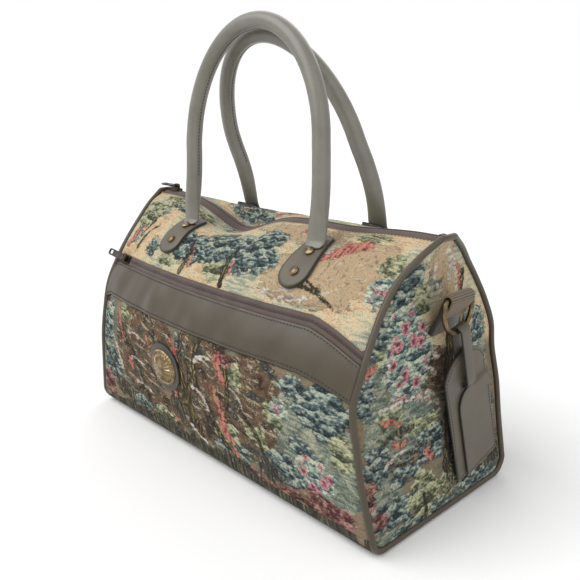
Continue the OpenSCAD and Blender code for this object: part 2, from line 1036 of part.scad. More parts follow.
// Leather doubled round the ring's bar, its tail sewn to the end panel.
module ring_tab() {
    foot_x = gusset_x(ring_tab_foot_z) + sewn_gap + ring_tab_half;
    run = [foot_x - ring_x, ring_tab_foot_z - ring_z];
    side_step = [-run[1], run[0]] / norm(run) * ring_tab_half;
    color(leather_colour)
    translate([ring_x, 0, ring_z])
    rotate([90, 0, 0])
    linear_extrude(height = ring_tab_w, center = true)
    difference() {
        union() {
            circle(r = ring_eye_r + ring_strap_t, $fn = round_fn);
            polygon([side_step, -side_step, run - side_step, run + side_step]);
            translate(run)
            circle(r = ring_tab_half, $fn = round_fn);
        }
        circle(r = ring_eye_r, $fn = round_fn);
    }
}

// D-ring of round wire, hanging from its straight bar.
module d_ring() {
    color(bronze_colour)
    translate([ring_x, 0, ring_z])
    rotate([180, 0, 90]) {
        rotate([0, 90, 0])
        cylinder(r = wire_r, h = ring_w, center = true, $fn = round_fn);
        for (x = [-1, 1])
        translate([x * ring_r, 0, 0]) {
            sphere(r = wire_r, $fn = round_fn);
            cylinder(r = wire_r, h = ring_leg, $fn = round_fn);
        }
        translate([0, 0, ring_leg])
        bow(ring_r, wire_r);
    }
}

module right_ring_tab() {
    ring_tab();
}

module right_d_ring() {
    d_ring();
}

module left_ring_tab() {
    on_left()
    ring_tab();
}

module left_d_ring() {
    on_left()
    d_ring();
}

// Room for the wire's curve across the strap
bow_sagitta = ring_r - sqrt(ring_r * ring_r - loop_w * loop_w / 4);
loop_eye_r = wire_r + run_clear + bow_sagitta;
loop_l = tag_drop + slot_drop;

// Carries its children to the ring's bow, with the tag's outline in the XY plane and Y up.
module at_tag() {
    translate([ring_x, 0, ring_z - ring_leg])
    rotate([tag_lean, 0, 0])
    translate([0, 0, -ring_r])
    rotate([90, 0, 90])
    children();
}

// Endless strap over the ring's bow and through the tag's slot.
module tag_loop() {
    color(leather_colour)
    at_tag()
    rotate([0, 90, 0])
    linear_extrude(height = loop_w, center = true)
    difference() {
        loop_outline(loop_eye_r + loop_t);
        loop_outline(loop_eye_r);
    }
}

module loop_outline(r) {
    for (y = [0, -loop_l])
    translate([0, y])
    circle(r = r, $fn = round_fn);
    translate([-r, -loop_l])
    square([2 * r, loop_l]);
}

tag_corner_r = 4;
tag_arch_share = 0.58;
flap_edge_share = 0.21;
flap_corner_share = 0.3;
card_margin = 3;
card_t = 0.4;

// Outline of the tag: square foot, arched head.
module tag_outline() {
    arch_r = tag_w * tag_arch_share;
    intersection() {
        translate([0, -tag_drop - tag_l / 2])
        rounded_sheet(tag_w, tag_l, tag_corner_r);
        union() {
            translate([0, -tag_drop - arch_r])
            circle(r = arch_r, $fn = round_fn);
            translate([-tag_w / 2, -tag_drop - tag_l])
            square([tag_w, tag_l - arch_r]);
        }
    }
}

// Slot for the loop strap.
module tag_slot() {
    slot_half = loop_w / 2 + run_clear;
    slot_foot = loop_l + loop_eye_r + loop_t + run_clear;
    translate([-slot_half, -slot_foot])
    square([2 * slot_half, loop_eye_r + loop_t + run_clear]);
}

module tag_back() {
    color(leather_colour)
    at_tag()
    translate([0, 0, -tag_t])
    linear_extrude(height = tag_t)
    difference() {
        tag_outline();
        tag_slot();
    }
}

// Outline of the flap: the tag's foot and right side, with a rounded upper left corner.
module flap_outline(inset) {
    corner_r = tag_w * flap_corner_share;
    left = -tag_w / 2 + tag_w * flap_edge_share + inset;
    top = -loop_l - loop_eye_r - loop_t - run_clear - inset;
    foot = -tag_drop - tag_l + inset;
    right = tag_w / 2 - inset;
    translate([left, foot])
    square([right - left, top - corner_r - foot]);
    translate([left + corner_r, foot])
    square([right - left - corner_r, top - foot]);
    translate([left + corner_r, top - corner_r])
    circle(r = corner_r, $fn = round_fn);
}

module tag_flap() {
    color(leather_colour)
    at_tag()
    translate([0, 0, card_t + 2 * seam_clear])
    linear_extrude(height = tag_t)
    intersection() {
        flap_outline(0);
        tag_outline();
    }
}

// Card for a name, held between the tag's back and its flap.
module name_card() {
    color(card_colour)
    at_tag()
    translate([0, 0, seam_clear])
    linear_extrude(height = card_t)
    flap_outline(card_margin);
}

front_panel();
rear_panel();
base_panel();
base_board();
right_gusset();
left_gusset();
right_piping();
left_piping();
pocket_panel();
pocket_band();
pocket_back_wall();
pocket_zip_upper_tape();
pocket_zip_lower_tape();
pocket_zip_chain();
pocket_zip_slider();
pocket_zip_pull();
pocket_zip_stops();
main_zip_front_tape();
main_zip_rear_tape();
main_zip_chain();
main_zip_slider();
main_zip_pull();
main_zip_stops();
front_grip();
front_grip_core();
front_left_tab();
front_right_tab();
front_rivets();
rear_grip();
rear_grip_core();
rear_left_tab();
rear_right_tab();
rear_rivets();
medallion_disc();
medallion_boss();
right_ring_tab();
right_d_ring();
left_ring_tab();
left_d_ring();
tag_loop();
tag_back();
tag_flap();
name_card();
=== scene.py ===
# %% [markdown]
# # A tapestry carpet bag
#
# The bag is a padded tapestry shell with a zip along its ridge, a zipped pocket under a leather band,
# two rolled leather handles, a D-ring at each end and a luggage tag. Its solids are packed as a fixed
# frame in metres, so this lesson never moves them: it dresses them with softer, finer surfaces.
# Every surface is worked out in numpy in millimetres, and one helper turns it into a mesh in metres.

# %% Load the frame
import json
import math

import bpy
import numpy as np
from mathutils import Matrix, Vector

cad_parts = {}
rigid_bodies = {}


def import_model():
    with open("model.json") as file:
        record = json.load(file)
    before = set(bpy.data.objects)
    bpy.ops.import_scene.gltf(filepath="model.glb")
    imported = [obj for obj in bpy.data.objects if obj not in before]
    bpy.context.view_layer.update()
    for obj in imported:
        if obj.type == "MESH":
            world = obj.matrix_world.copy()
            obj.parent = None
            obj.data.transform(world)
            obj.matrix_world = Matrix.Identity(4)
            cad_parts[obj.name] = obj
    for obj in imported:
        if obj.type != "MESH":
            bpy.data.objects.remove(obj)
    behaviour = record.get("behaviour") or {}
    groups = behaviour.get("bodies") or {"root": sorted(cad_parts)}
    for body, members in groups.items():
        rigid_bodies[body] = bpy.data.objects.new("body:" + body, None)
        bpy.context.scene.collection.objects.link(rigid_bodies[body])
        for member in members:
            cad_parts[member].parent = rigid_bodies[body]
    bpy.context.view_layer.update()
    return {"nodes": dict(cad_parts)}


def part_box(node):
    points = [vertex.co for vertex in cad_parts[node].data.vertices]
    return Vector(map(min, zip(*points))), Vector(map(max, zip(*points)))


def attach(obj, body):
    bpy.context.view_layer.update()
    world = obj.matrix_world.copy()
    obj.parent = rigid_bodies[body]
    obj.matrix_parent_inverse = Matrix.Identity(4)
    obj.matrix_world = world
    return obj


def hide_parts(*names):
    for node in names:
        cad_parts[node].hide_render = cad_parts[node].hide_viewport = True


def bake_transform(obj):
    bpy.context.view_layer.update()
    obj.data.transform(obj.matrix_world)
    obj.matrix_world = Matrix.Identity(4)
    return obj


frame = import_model()
nodes = frame["nodes"]
MM = 0.001


def node_box(name):
    """Lowest and highest corner of a CAD node, in millimetres."""
    low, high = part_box(name)
    return np.array(low) / MM, np.array(high) / MM


# %% [markdown]
# ## Camera
#
# A camera is a place, a direction and a lens. Turning it by hand is slow, so the place and the three
# angles below are written out: the azimuth goes round the bag, the elevation looks down on it, and the
# roll tips the horizon. One matrix puts them together, which keeps the order of the turns plain.

# %% Camera
CAMERA_PLACE = (465.9, -425.0, 331.4)
AZIMUTH, ELEVATION, ROLL = (math.radians(a) for a in (46.84, 16.32, -0.55))
SENSOR_WIDTH, LENS = 36.0, 43.5

camera_data = bpy.data.cameras.new("camera")
camera_data.sensor_width = SENSOR_WIDTH
camera_data.lens = LENS
camera = bpy.data.objects.new("camera", camera_data)
scene_objects = bpy.context.scene.collection.objects
scene_objects.link(camera)
stand = Matrix.Translation([c * MM for c in CAMERA_PLACE])
turn_round = Matrix.Rotation(AZIMUTH, 4, "Z")
look_down = Matrix.Rotation(math.pi / 2 - ELEVATION, 4, "X")
tip = Matrix.Rotation(ROLL, 4, "Z")
camera.matrix_world = stand @ turn_round @ look_down @ tip
bpy.context.scene.camera = camera
bpy.context.scene.view_settings.view_transform = "Standard"
print("camera at", [round(c, 3) for c in camera.location])

# %% [markdown]
# ## From arrays to meshes
#
# A piece here is a grid of points. Neighbouring points make quads, and a grid may wrap round in either
# direction: a tube wraps one way, a ring wraps both. A face's corners decide which way it looks, and
# getting that right by hand is fiddly. The signed volume of a closed mesh is positive when its faces look
# outwards, so the helper measures it and turns all the faces round if it has to.

# %% Grids and their volume


def grid_quads(rows, cols, wrap_rows=False, wrap_cols=False):
    """Corner numbers of the quads between neighbouring points of a grid, wrapping round where asked."""
    row_count, col_count = (rows if wrap_rows else rows - 1), (cols if wrap_cols else cols - 1)
    i, j = np.meshgrid(np.arange(row_count), np.arange(col_count), indexing="ij")
    below, beside = (i + 1) % rows, (j + 1) % cols
    corners = [i * cols + j, below * cols + j, below * cols + beside, i * cols + beside]
    return np.stack(corners, -1).reshape(-1, 4)


def signed_volume(points, quads, caps):
    """Sum of the volumes of the cones from the origin to every triangle of the mesh."""
    fans = [quads[:, [0, 1, 2]], quads[:, [0, 2, 3]]]
    for cap in caps:
        fans.append(np.stack([np.full(len(cap) - 2, cap[0]), cap[1:-1], cap[2:]], -1))
    a, b, c = np.moveaxis(points[np.vstack(fans)], 1, 0)
    return float(np.einsum("ij,ij->", a, np.cross(b, c))) / 6


print("quads of a 3 by 4 grid:", len(grid_quads(3, 4)), "or wrapped:", len(grid_quads(3, 4, True, True)))

# %% Meshes


def add_uv(mesh, uv):
    """Puts two numbers for each point, in mm, on the mesh as its cloth coordinates."""
    corner = np.empty(len(mesh.loops), np.int32)
    mesh.loops.foreach_get("vertex_index", corner)
    layer = mesh.uv_layers.new(name="cloth")
    placed = np.asarray(uv, float).reshape(-1, 2)[corner] * MM
    layer.data.foreach_set("uv", placed.astype(np.float32).ravel())


def put_mesh(name, points, quads, caps=(), uv=None, fields=None):
    """Makes a mesh object from points in mm, quads and many-sided caps, with its faces outwards.

    uv gives two numbers for each point, in mm, and fields gives one number for each point and name.
    """
    points = np.asarray(points, float).reshape(-1, 3)
    caps = [np.asarray(cap) for cap in caps]
    volume = signed_volume(points, quads, caps)
    if volume < 0:
        quads, caps = quads[:, ::-1], [cap[::-1] for cap in caps]
    mesh = bpy.data.meshes.new(name)
    mesh.from_pydata((points * MM).tolist(), [], quads.tolist() + [cap.tolist() for cap in caps])
    mesh.polygons.foreach_set("use_smooth", np.ones(len(mesh.polygons), bool))
    if uv is not None:
        add_uv(mesh, uv)
    for field, values in (fields or {}).items():
        attribute = mesh.attributes.new(field, "FLOAT", "POINT")
        attribute.data.foreach_set("value", np.asarray(values, np.float32).ravel())
    mesh.update()
    made = bpy.data.objects.new(name, mesh)
    scene_objects.link(made)
    triangles = 2 * len(quads) + sum(len(cap) - 2 for cap in caps)
    print(f"{name}: {triangles} triangles, {abs(volume) / 1000:.2f} cm3")
    return made


def dress(piece, material, body, slot, *stands_for):
    """Gives a piece its material and its body, and hides the CAD nodes that it stands for; slot is not used.
    """
    piece.data.materials.append(material)
    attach(piece, body)
    if stands_for:
        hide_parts(*stands_for)
    return piece


# %% Sheets and tubes


def shell(name, outer, inner, uv=None, fields=None):
    """Closed sheet between an outer and an inner grid: rows run down the outside and back up the inside."""
    rows, cols = outer.shape[:2]
    loop = np.concatenate([outer, inner[::-1]])
    quads = grid_quads(2 * rows, cols, wrap_rows=True)
    step = np.arange(rows - 1)
    back = 2 * rows - 1 - step
    ends = [
        np.stack([step * cols + end, (step + 1) * cols + end, (back - 1) * cols + end, back * cols + end], -1)
        for end in (0, cols - 1)
    ]
    quads = np.vstack([quads, ends[0][:, ::-1], ends[1]])
    both = {key: np.concatenate([value, value[::-1]]) for key, value in (fields or {}).items()}
    both_uv = None if uv is None else np.concatenate([uv, uv[::-1]])
    return put_mesh(name, loop, quads, uv=both_uv, fields=both)


def tube(name, rings, closed=False, fields=None):
    """Skin over a row of rings, each a closed loop of points, capped at its ends unless the row is closed."""
    rows, cols = rings.shape[:2]
    quads = grid_quads(rows, cols, wrap_rows=closed, wrap_cols=True)
    caps = [] if closed else [np.arange(cols), np.arange(cols)[::-1] + (rows - 1) * cols]
    return put_mesh(name, rings, quads, caps, fields=fields)


# %% [markdown]
# ## The bag's skin
#
# Seen from its end, the bag is a gable: a narrow ridge, sloping shoulders and almost upright sides. A
# smooth curve through a few points, given as shares of the bag's depth and height, draws that section.
# Along the bag, the middle bellies out and each end is drawn in at its waist. Every panel, band, tab and
# stitch on the cloth is placed by this one function, so they all keep together when it changes.

# %% Sizes of the skin
PIPING_R = 3.0
PANEL_T = 3.0
SEAM_GAP = PIPING_R / 2
CREST_HALF = 8.0
BELLY = 15.0
END_SWELL = 6.0
RIDGE_DRAW, WAIST_DRAW = 9.0, 19.0
BASE_ROUND = 16.0
BASE_DEPTH_SHARE = 0.98
RIDGE_Z = node_box("rear_panel")[1][2]
END_HALF = node_box("right_piping")[1][0] - PIPING_R
BASE_HALF = node_box("base_panel")[1][1]
HALF_DEPTH = BASE_HALF / BASE_DEPTH_SHARE
FRONT, REAR = -1, 1

# Shares of the half depth, the ridge's height and the waist's draw, from the ridge down
SIDE_SHARES = np.array([
    [0.293, 0.947, 0.74], [0.489, 0.878, 1.00], [0.652, 0.800, 1.03], [0.793, 0.711, 0.97],
    [0.913, 0.613, 0.93], [0.989, 0.502, 1.00], [1.005, 0.373, 0.70], [1.000, 0.231, 0.42],
])
side_points = np.vstack([
    [CREST_HALF, RIDGE_Z, RIDGE_DRAW],
    SIDE_SHARES * [HALF_DEPTH, RIDGE_Z, WAIST_DRAW],
    [BASE_HALF, BASE_ROUND, 0],
])
print("ridge at", round(RIDGE_Z, 2), "end seams at", round(END_HALF, 2), "base edge at", round(BASE_HALF, 2))

# %% Curves and runs


def mix(a, b, share):
    """Value a share of the way from a to b."""
    return a + (b - a) * share


def ease(share):
    """Smooth step from 0 to 1."""
    c = np.clip(share, 0, 1)
    return c * c * (3 - 2 * c)


def unit(vectors):
    """Vectors scaled to length 1."""
    return vectors / np.linalg.norm(vectors, axis=-1, keepdims=True)


def full_turn(count):
    """Even angles once round a circle."""
    return np.linspace(0, 2 * np.pi, count, endpoint=False)


def curve_at(points, share):
    """Smooth curve through points (Catmull-Rom): each stretch is a cubic set by its four nearest points."""
    points, share = np.asarray(points, float), np.asarray(share, float)
    last = len(points) - 1
    u = np.clip(share, 0, 1) * last
    i = np.minimum(u.astype(int), last - 1)
    t = (u - i)[..., None]
    a, b, c, d = points[np.maximum(i - 1, 0)], points[i], points[i + 1], points[np.minimum(i + 2, last)]
    return (2 * b + (c - a) * t + (2 * a - 5 * b + 4 * c - d) * t**2 + (3 * b - a - 3 * c + d) * t**3) / 2


def run_of(path):
    """Distance along a path at each of its points."""
    return np.concatenate([[0], np.cumsum(np.linalg.norm(np.diff(path, axis=0), axis=1))])


def at_run(at, run, values):
    """Values that go with a path's points, read off at distances along it."""
    return np.stack([np.interp(at, run, column) for column in values.T], -1)


table_shares = np.linspace(0, 1, 241)
table_section = curve_at(side_points, table_shares)
table_run = run_of(table_section[:, :2])
section_run = table_run[-1]


def share_at(z):
    """Share of the section at a height."""
    return np.interp(-np.asarray(z, float), -table_section[:, 1], table_shares)


print("section is", round(section_run, 1), "mm from ridge to base")

# %% Section and sag
SLOPE_SHARE = 0.004
HEM_SHARE = 0.06
DIP_X, DIP_WIDTH, DIP_DEPTH = -46.0, 42.0, 19.0
RIDGE_SAG, SAG_END, SAG_EASE = 4.5, 160.0, 80.0
# Crossed waves of the padded cloth: length along the bag, waves down the side, phase and height
CLOTH_WAVES = ((38.0, 2.2, 0.4, 0.35), (61.0, -1.4, 2.0, 0.55), (23.0, 3.6, 4.1, 0.18))


def side_normal(s):
    """Outward direction of the section, in depth and height: upright at the ridge hem, level at the base."""
    d = curve_at(side_points, s + SLOPE_SHARE) - curve_at(side_points, s - SLOPE_SHARE)
    square = unit(np.stack([-d[..., 1], d[..., 0]], -1))
    top = 1 - ease(s / HEM_SHARE)
    foot = ease((s - 1 + HEM_SHARE) / HEM_SHARE)
    return unit(square * (1 - top - foot)[..., None] + np.stack([foot, top], -1))


def panel_half(s):
    """Half the length of a panel at a share of the section."""
    return END_HALF - curve_at(side_points, s)[..., 2] - SEAM_GAP


def ridge_dip(x):
    """How far the ridge sags at x: a shallow sag between the ends and one deeper dip left of the middle."""
    dip = DIP_DEPTH * np.exp(-(((x - DIP_X) / DIP_WIDTH) ** 2))
    return RIDGE_SAG * ease((SAG_END - np.abs(x)) / SAG_EASE) + dip


def unevenness(x, s, face):
    """Sum of crossed sine waves, calmed towards the seams."""
    waves = sum(h * np.sin(2 * np.pi * (x / l + n * s) + p + face) for l, n, p, h in CLOTH_WAVES)
    return waves * np.sqrt(np.clip(np.sin(np.pi * s), 0, 1)) * (1 - (x / END_HALF) ** 4)


print("ridge dips by", round(float(ridge_dip(DIP_X)), 1), "mm at x", DIP_X)

# %% Skin
FADE_SHARE = {FRONT: 0.26, REAR: 0.11}
HEM_DROP, HEM_DROP_SHARE = 3.0, 0.09
SHORT_STEP = 0.5


def skin(x, s, face, lift=0.0):
    """Point of the skin at x along the bag and share s down it, lifted off along the section's normal."""
    x, s = np.broadcast_arrays(np.asarray(x, float), np.asarray(s, float))
    section = curve_at(side_points, s)
    normal = side_normal(s)
    k = x / panel_half(s)
    belly = BELLY * np.sin(np.pi * s) * (1 - k**2)
    out = lift + unevenness(x, s, face)
    depth = section[..., 0] + belly + normal[..., 0] * out
    sink = ridge_dip(x) * (1 - ease(s / FADE_SHARE[face])) + HEM_DROP * (1 - ease(s / HEM_DROP_SHARE))
    height = section[..., 1] + normal[..., 1] * out - sink
    return np.stack([x, face * depth, height], -1)


def skin_normal(x, s, face):
    """Direction square to the skin, from two short steps along it."""
    along = skin(x + SHORT_STEP, s, face) - skin(x - SHORT_STEP, s, face)
    down = skin(x, s + SLOPE_SHARE, face) - skin(x, s - SLOPE_SHARE, face)
    return face * unit(np.cross(down, along))


print("skin at the middle of the front, half way down:", np.round(skin(0.0, 0.5, FRONT), 1))

# %% [markdown]
# ## Shader maths as Python sums
#
# A material is a graph of nodes. Wiring each node by hand hides the formula, so a small class stands
# for a socket and lets plain Python sums add the Math nodes. Any other node comes from one method, which
# takes the node's type, its settings and the values or links of its sockets. Colours are written as the
# numbers of a colour picker, and turned into the linear light that the shader works in.

# %% Colours


def tint(red, green, blue):
    """Linear colour of a swatch given by three numbers from 0 to 255."""
    c = np.array([red, green, blue]) / 255
    linear = np.where(c <= 0.04045, c / 12.92, ((c + 0.055) / 1.055) ** 2.4)
    return tuple(float(v) for v in linear) + (1.0,)


print("mid grey in linear light:", round(tint(128, 128, 128)[0], 3))

# %% Sums of sockets


class Term:
    """A shader socket that takes part in Python sums."""

    def __init__(self, tree, socket=None):
        """Keeps the node tree and, but for a tree's first term, the socket that gives the value."""
        self.tree = tree
        self.socket = socket

    def node(self, kind, settings=None, sockets=None, out=0):
        """Adds a node: its settings come first, then the values or links of its sockets."""
        made = self.tree.nodes.new("ShaderNode" + kind)
        for key, value in (settings or {}).items():
            setattr(made, key, value)
        for key, value in (sockets or {}).items():
            if isinstance(value, Term):
                self.tree.links.new(value.socket, made.inputs[key])
            else:
                made.inputs[key].default_value = value
        return Term(self.tree, made.outputs[out])

    def sum(self, operation, *values):
        """Adds a Math node with this operation on the values."""
        return self.node("Math", {"operation": operation}, dict(enumerate(values)))

    def __add__(self, other):
        return self.sum("ADD", self, other)

    __radd__ = __add__

    def __sub__(self, other):
        return self.sum("SUBTRACT", self, other)

    def __rsub__(self, other):
        return self.sum("SUBTRACT", other, self)

    def __mul__(self, other):
        return self.sum("MULTIPLY", self, other)

    __rmul__ = __mul__

    def __abs__(self):
        return self.sum("ABSOLUTE", self)

    def sine(self):
        """Sine of this value, in radians."""
        return self.sum("SINE", self)

    def most(self, other):
        """The larger of two values."""
        return self.sum("MAXIMUM", self, other)

    def clamped(self):
        """This value held between 0 and 1."""
        return self.node("Clamp", {}, {"Value": self})

    def over(self, below, above):
        """Colour above where this mask is 1, colour below where it is 0."""
        return self.node("Mix", {"data_type": "RGBA"}, {0: self, 6: below, 7: above}, 2)

    def paint(self, below, *swatch):
        """One swatch where this mask is 1, the colour below where it is 0."""
        return self.over(below, tint(*swatch))

    def ramp(self, *stops, steps="LINEAR"):
        """Colours over this value: each stop is a place from 0 to 1 and a swatch."""
        made = self.node("ValToRGB", {}, {"Fac": self})
        colours = made.socket.node.color_ramp
        colours.interpolation = steps
        while len(colours.elements) < len(stops):
            colours.elements.new(1.0)
        for element, (place, swatch) in zip(colours.elements, stops):
            element.position = place
            element.color = tint(*swatch)
        return made

    def yarns(self, *swatches):
        """One colour of yarn for each even step of this value, with no blending between them."""
        stops = [(i / len(swatches), swatch) for i, swatch in enumerate(swatches)]
        return self.ramp(*stops, steps="CONSTANT")

    def noise(self, where, size, detail=2.0, dimensions="3D"):
        """Smooth noise from 0 to 1 with lumps of a size in mm."""
        sockets = {"Vector": where, "Scale": 1 / (size * MM), "Detail": detail}
        return self.node("TexNoise", {"noise_dimensions": dimensions}, sockets)

    def feed(self, shader, socket):
        """Links this value to a socket of a shader."""
        self.tree.links.new(self.socket, shader.inputs[socket])


# %% Materials


def new_material(name, constants):
    """Material with a Principled shader: values that are the same all over are set on its own sockets."""
    material = bpy.data.materials.new(name)
    material.use_nodes = True
    shader = material.node_tree.nodes["Principled BSDF"]
    for socket, value in constants.items():
        shader.inputs[socket].default_value = value
    return material, Term(material.node_tree), shader


def add_relief(start, shader, height, strength, distance):
    """Bumps a material's surface by a height that is worth a distance in mm."""
    sockets = {"Strength": strength, "Distance": distance * MM, "Height": height}
    start.node("Bump", {}, sockets).feed(shader, "Normal")


print("materials so far:", len(bpy.data.materials))

# %% [markdown]
# ## Tapestry
#
# The cloth is a jacquard verdure: tree crowns, shrubs, rose bushes, trunks and mossy stones under a warm
# sky, woven in coloured wefts. Painting it pixel by pixel would need a picture. Instead each kind of
# growth is a field: a number, in mm, that is positive inside its shapes. The fields are worked out in
# numpy and stored on the cloth's points, and the shader roughens their edges with noise, on coordinates
# that are snapped to the threads, so that every edge steps from thread to thread as woven colour does.

# %% Threads and noise
THREAD_U, THREAD_V = 0.85, 0.62
KINDS = ("water", "stone", "crown", "sage", "trunk", "rose", "coral", "berry", "thicket", "pale", "lit")

tapestry, cloth, tapestry_shader = new_material("tapestry", {"Roughness": 0.85, "Specular IOR Level": 0.2})
place = cloth.node("UVMap", {"uv_map": "cloth"})
thread_size = (THREAD_U * MM, THREAD_V * MM, 1.0)
thread = cloth.node("VectorMath", {"operation": "SNAP"}, {0: place, 1: thread_size})
u_mm, v_mm = (cloth.node("SeparateXYZ", {}, {0: thread}, axis) * (1 / MM) for axis in "XY")


def stretched(along, up):
    """The threads' places, stretched so that noise on them runs longer along the weft or up the warp."""
    return cloth.node("VectorMath", {"operation": "MULTIPLY"}, {0: thread, 1: (along, up, 1.0)})


broad = cloth.noise(thread, 55.0, 1.0, "2D")
clump = cloth.noise(stretched(0.6, 1.0), 8.0, 2.0, "2D")
leaf = cloth.noise(stretched(0.55, 1.0), 2.4, 1.0, "2D")
patch = cloth.noise(stretched(0.8, 1.0), 17.0, 2.0, "2D")
streak = cloth.noise(stretched(0.16, 1.0), 2.6, 1.0, "2D")
blade = cloth.noise(stretched(1.0, 0.2), 2.8, 1.0, "2D")
bend = cloth.noise(thread, 24.0, 1.0, "2D") - 0.5
fleck = cloth.node("TexWhiteNoise", {"noise_dimensions": "2D"}, {"Vector": thread})
ragged = (clump - 0.5) * 9.0 + (leaf - 0.5) * 6.0
grown = {kind: cloth.node("Attribute", {"attribute_name": kind}, {}, "Fac") for kind in KINDS}
print("noise and fields:", len(tapestry.node_tree.nodes), "nodes")

# %% [markdown]
# ## Lines and masks of the weave
#
# A weaver draws with few means: a patch of colour, a dark line round it, and rows of short strokes. Each
# one is a small function here. A patch is a field pushed about by noise. A line is where the field is
# close to nothing. Strokes are the crests of a sine wave, bent and broken up by noise, which is cheaper
# and steadier than drawing curves one by one.

# %% Lines and masks


def edge_of(kind, roughness=1.0):
    """Mask of one kind of growth, its edge roughened by the noise."""
    return (grown[kind] + ragged * roughness + 0.5).clamped()


def outline_of(kind, width, roughness=1.0):
    """Mask of a dark line along the edge of one kind of growth."""
    return (1 - abs(grown[kind] + ragged * roughness) * (1 / width)).clamped()


def lines(u_share, v_share, bending, pitch):
    """Flowing lines: a sine across a slanted direction that the noise bends."""
    return ((u_mm * u_share + v_mm * v_share + bend * bending) * (2 * math.pi / pitch)).sine()


def strokes(wave, width, gate, breaking=6.0):
    """Mask of the crests of a set of lines, broken up by a noise."""
    return ((wave - width) * 6.0 + (gate - 0.5) * breaking).clamped()


def clump_light(size):
    """Light on leaf clumps: how far above the middle of its scattered cell a point lies, from -1 to 1."""
    cell = {"Vector": stretched(0.8, 1.0), "Scale": 1 / (size * MM), "Randomness": 1.0}
    middle = cloth.node("TexVoronoi", {"voronoi_dimensions": "2D"}, cell, "Position")
    offset = cloth.node("VectorMath", {"operation": "SUBTRACT"}, {0: stretched(0.8, 1.0), 1: middle})
    return cloth.node("SeparateXYZ", {}, {0: offset}, "Y") * (2.0 / (size * MM))


flow = lines(0.35, 0.8, 60.0, 4.2)
upright_flow = lines(0.9, 0.15, 46.0, 5.0)
ink = strokes(flow, 0.74, clump, 9.0)
leaf_light = clump_light(8.0) * 0.30 + grown["lit"] * 0.18
foliage = leaf_light + (leaf - 0.5) * 1.5 + (clump - 0.5) * 1.4 + 0.49
print("line work ready:", len(tapestry.node_tree.nodes), "nodes")

# %% [markdown]
# ## Ground of the design
#
# The palest wefts make the sky, and darker ones the ground below it. Water lies on that in broken streaks.
# The stones are the busiest part: nine yarns follow a lumpy noise, and dark and pale strokes are laid on
# top, as a weaver shades rock. On the roof the stones fade towards the sky, as in a distance.

# %% Ground: sky and water
SKY_FOOT, SKY_EASE = 128, 0.1

sky_tone = broad * 1.5 - 0.22 + (streak - 0.5) * 1.2 + (fleck - 0.5) * 0.25
colour = sky_tone.yarns(
    (142, 150, 134), (168, 170, 148), (192, 184, 156), (206, 190, 156), (210, 182, 142), (194, 164, 132)
)
low_ground = sky_tone.yarns(
    (82, 84, 75), (97, 93, 78), (110, 101, 84), (117, 104, 85), (122, 105, 84), (108, 92, 75)
)
colour = (((SKY_FOOT - v_mm) * SKY_EASE).clamped() * 0.9).over(colour, low_ground)

water_tone = broad * 0.9 + (streak - 0.5) * 1.5 + (fleck - 0.5) * 0.4 + 0.07
water = water_tone.yarns((78, 89, 83), (99, 111, 101), (117, 127, 113), (136, 142, 124), (162, 163, 142))
water = (ink * 0.35).paint(water, 86, 92, 80)
water = (strokes(lines(0.5, 1.0, 34.0, 17.0), 0.8, clump, 5.0) * 0.5).paint(water, 178, 176, 154)
water = (strokes(lines(-0.4, 1.0, 40.0, 15.0), 0.82, clump, 6.0) * 0.6).paint(water, 74, 86, 82)
colour = edge_of("water", 0.9).over(colour, water)
print("sky and water ready:", len(tapestry.node_tree.nodes), "nodes")

# %% Ground: stone
ROOF_FOOT, ROOF_EASE = 150, 0.05

stone_tone = (patch - 0.5) * 2.6 + (leaf - 0.5) * 0.28 + (fleck - 0.5) * 0.12 + 0.5
stone = stone_tone.yarns(
    (45, 38, 32), (66, 52, 39), (85, 66, 51), (103, 79, 63), (93, 76, 58), (118, 97, 75),
    (84, 71, 47), (83, 78, 65), (56, 60, 57)
)
course = lines(0.28, 1.0, 9.0, 9.5)
contour = (stone_tone * (2 * math.pi * 3.5)).sine()
stone = (strokes(lines(1.0, -0.2, 14.0, 14.0), 0.92, leaf, 9.0) * 0.7).paint(stone, 56, 48, 40)
stone = (strokes(contour, 0.84, clump, 5.0) * 0.85).paint(stone, 48, 42, 35)
stone = (((v_mm - ROOF_FOOT) * ROOF_EASE).clamped() * 0.66).paint(stone, 212, 186, 149)
stone = (strokes(lines(0.9, 0.5, 26.0, 10.0), 0.92, leaf, 6.0) * 0.55).paint(stone, 104, 82, 62)
stone = (strokes(0 - contour, 0.90, clump, 7.0) * 0.6).paint(stone, 192, 176, 148)
stone = (strokes(course, 0.96, clump, 12.0) * 0.6).paint(stone, 196, 182, 154)
colour = edge_of("stone", 1.3).over(colour, stone)
colour = (outline_of("stone", 1.0, 1.3) * 0.5).paint(colour, 66, 60, 50)
print("stone ready:", len(tapestry.node_tree.nodes), "nodes")

# %% [markdown]
# ## Growth and accents
#
# Leaves are woven in five or six steps from deep shade to light, and one foliage tone drives them all, so
# that teal crowns, sage shrubs and dark berry bushes share the same lumps. A rose is a small scattered cell
# whose distance from its middle picks the petal's yarn. Accents go on last: coral flowers, dark undergrowth
# and pale strokes, each roughened a little differently so that no two edges look alike.

# %% Growth: crowns, sage, trunks and roses
ROSE_PITCH = 14.0
PETAL_STEP, FLOWER_REACH = 0.0625, 0.40

crown = foliage.yarns(
    (34, 43, 46), (50, 63, 66), (74, 90, 91), (102, 118, 114), (136, 147, 135), (172, 178, 160)
)
colour = edge_of("crown").over(colour, crown)
colour = (outline_of("crown", 1.2) * 0.55).paint(colour, 34, 42, 44)
sage = foliage.yarns((60, 64, 49), (96, 100, 76), (128, 132, 101), (158, 160, 126), (186, 186, 152))
colour = edge_of("sage", 0.9).over(colour, sage)

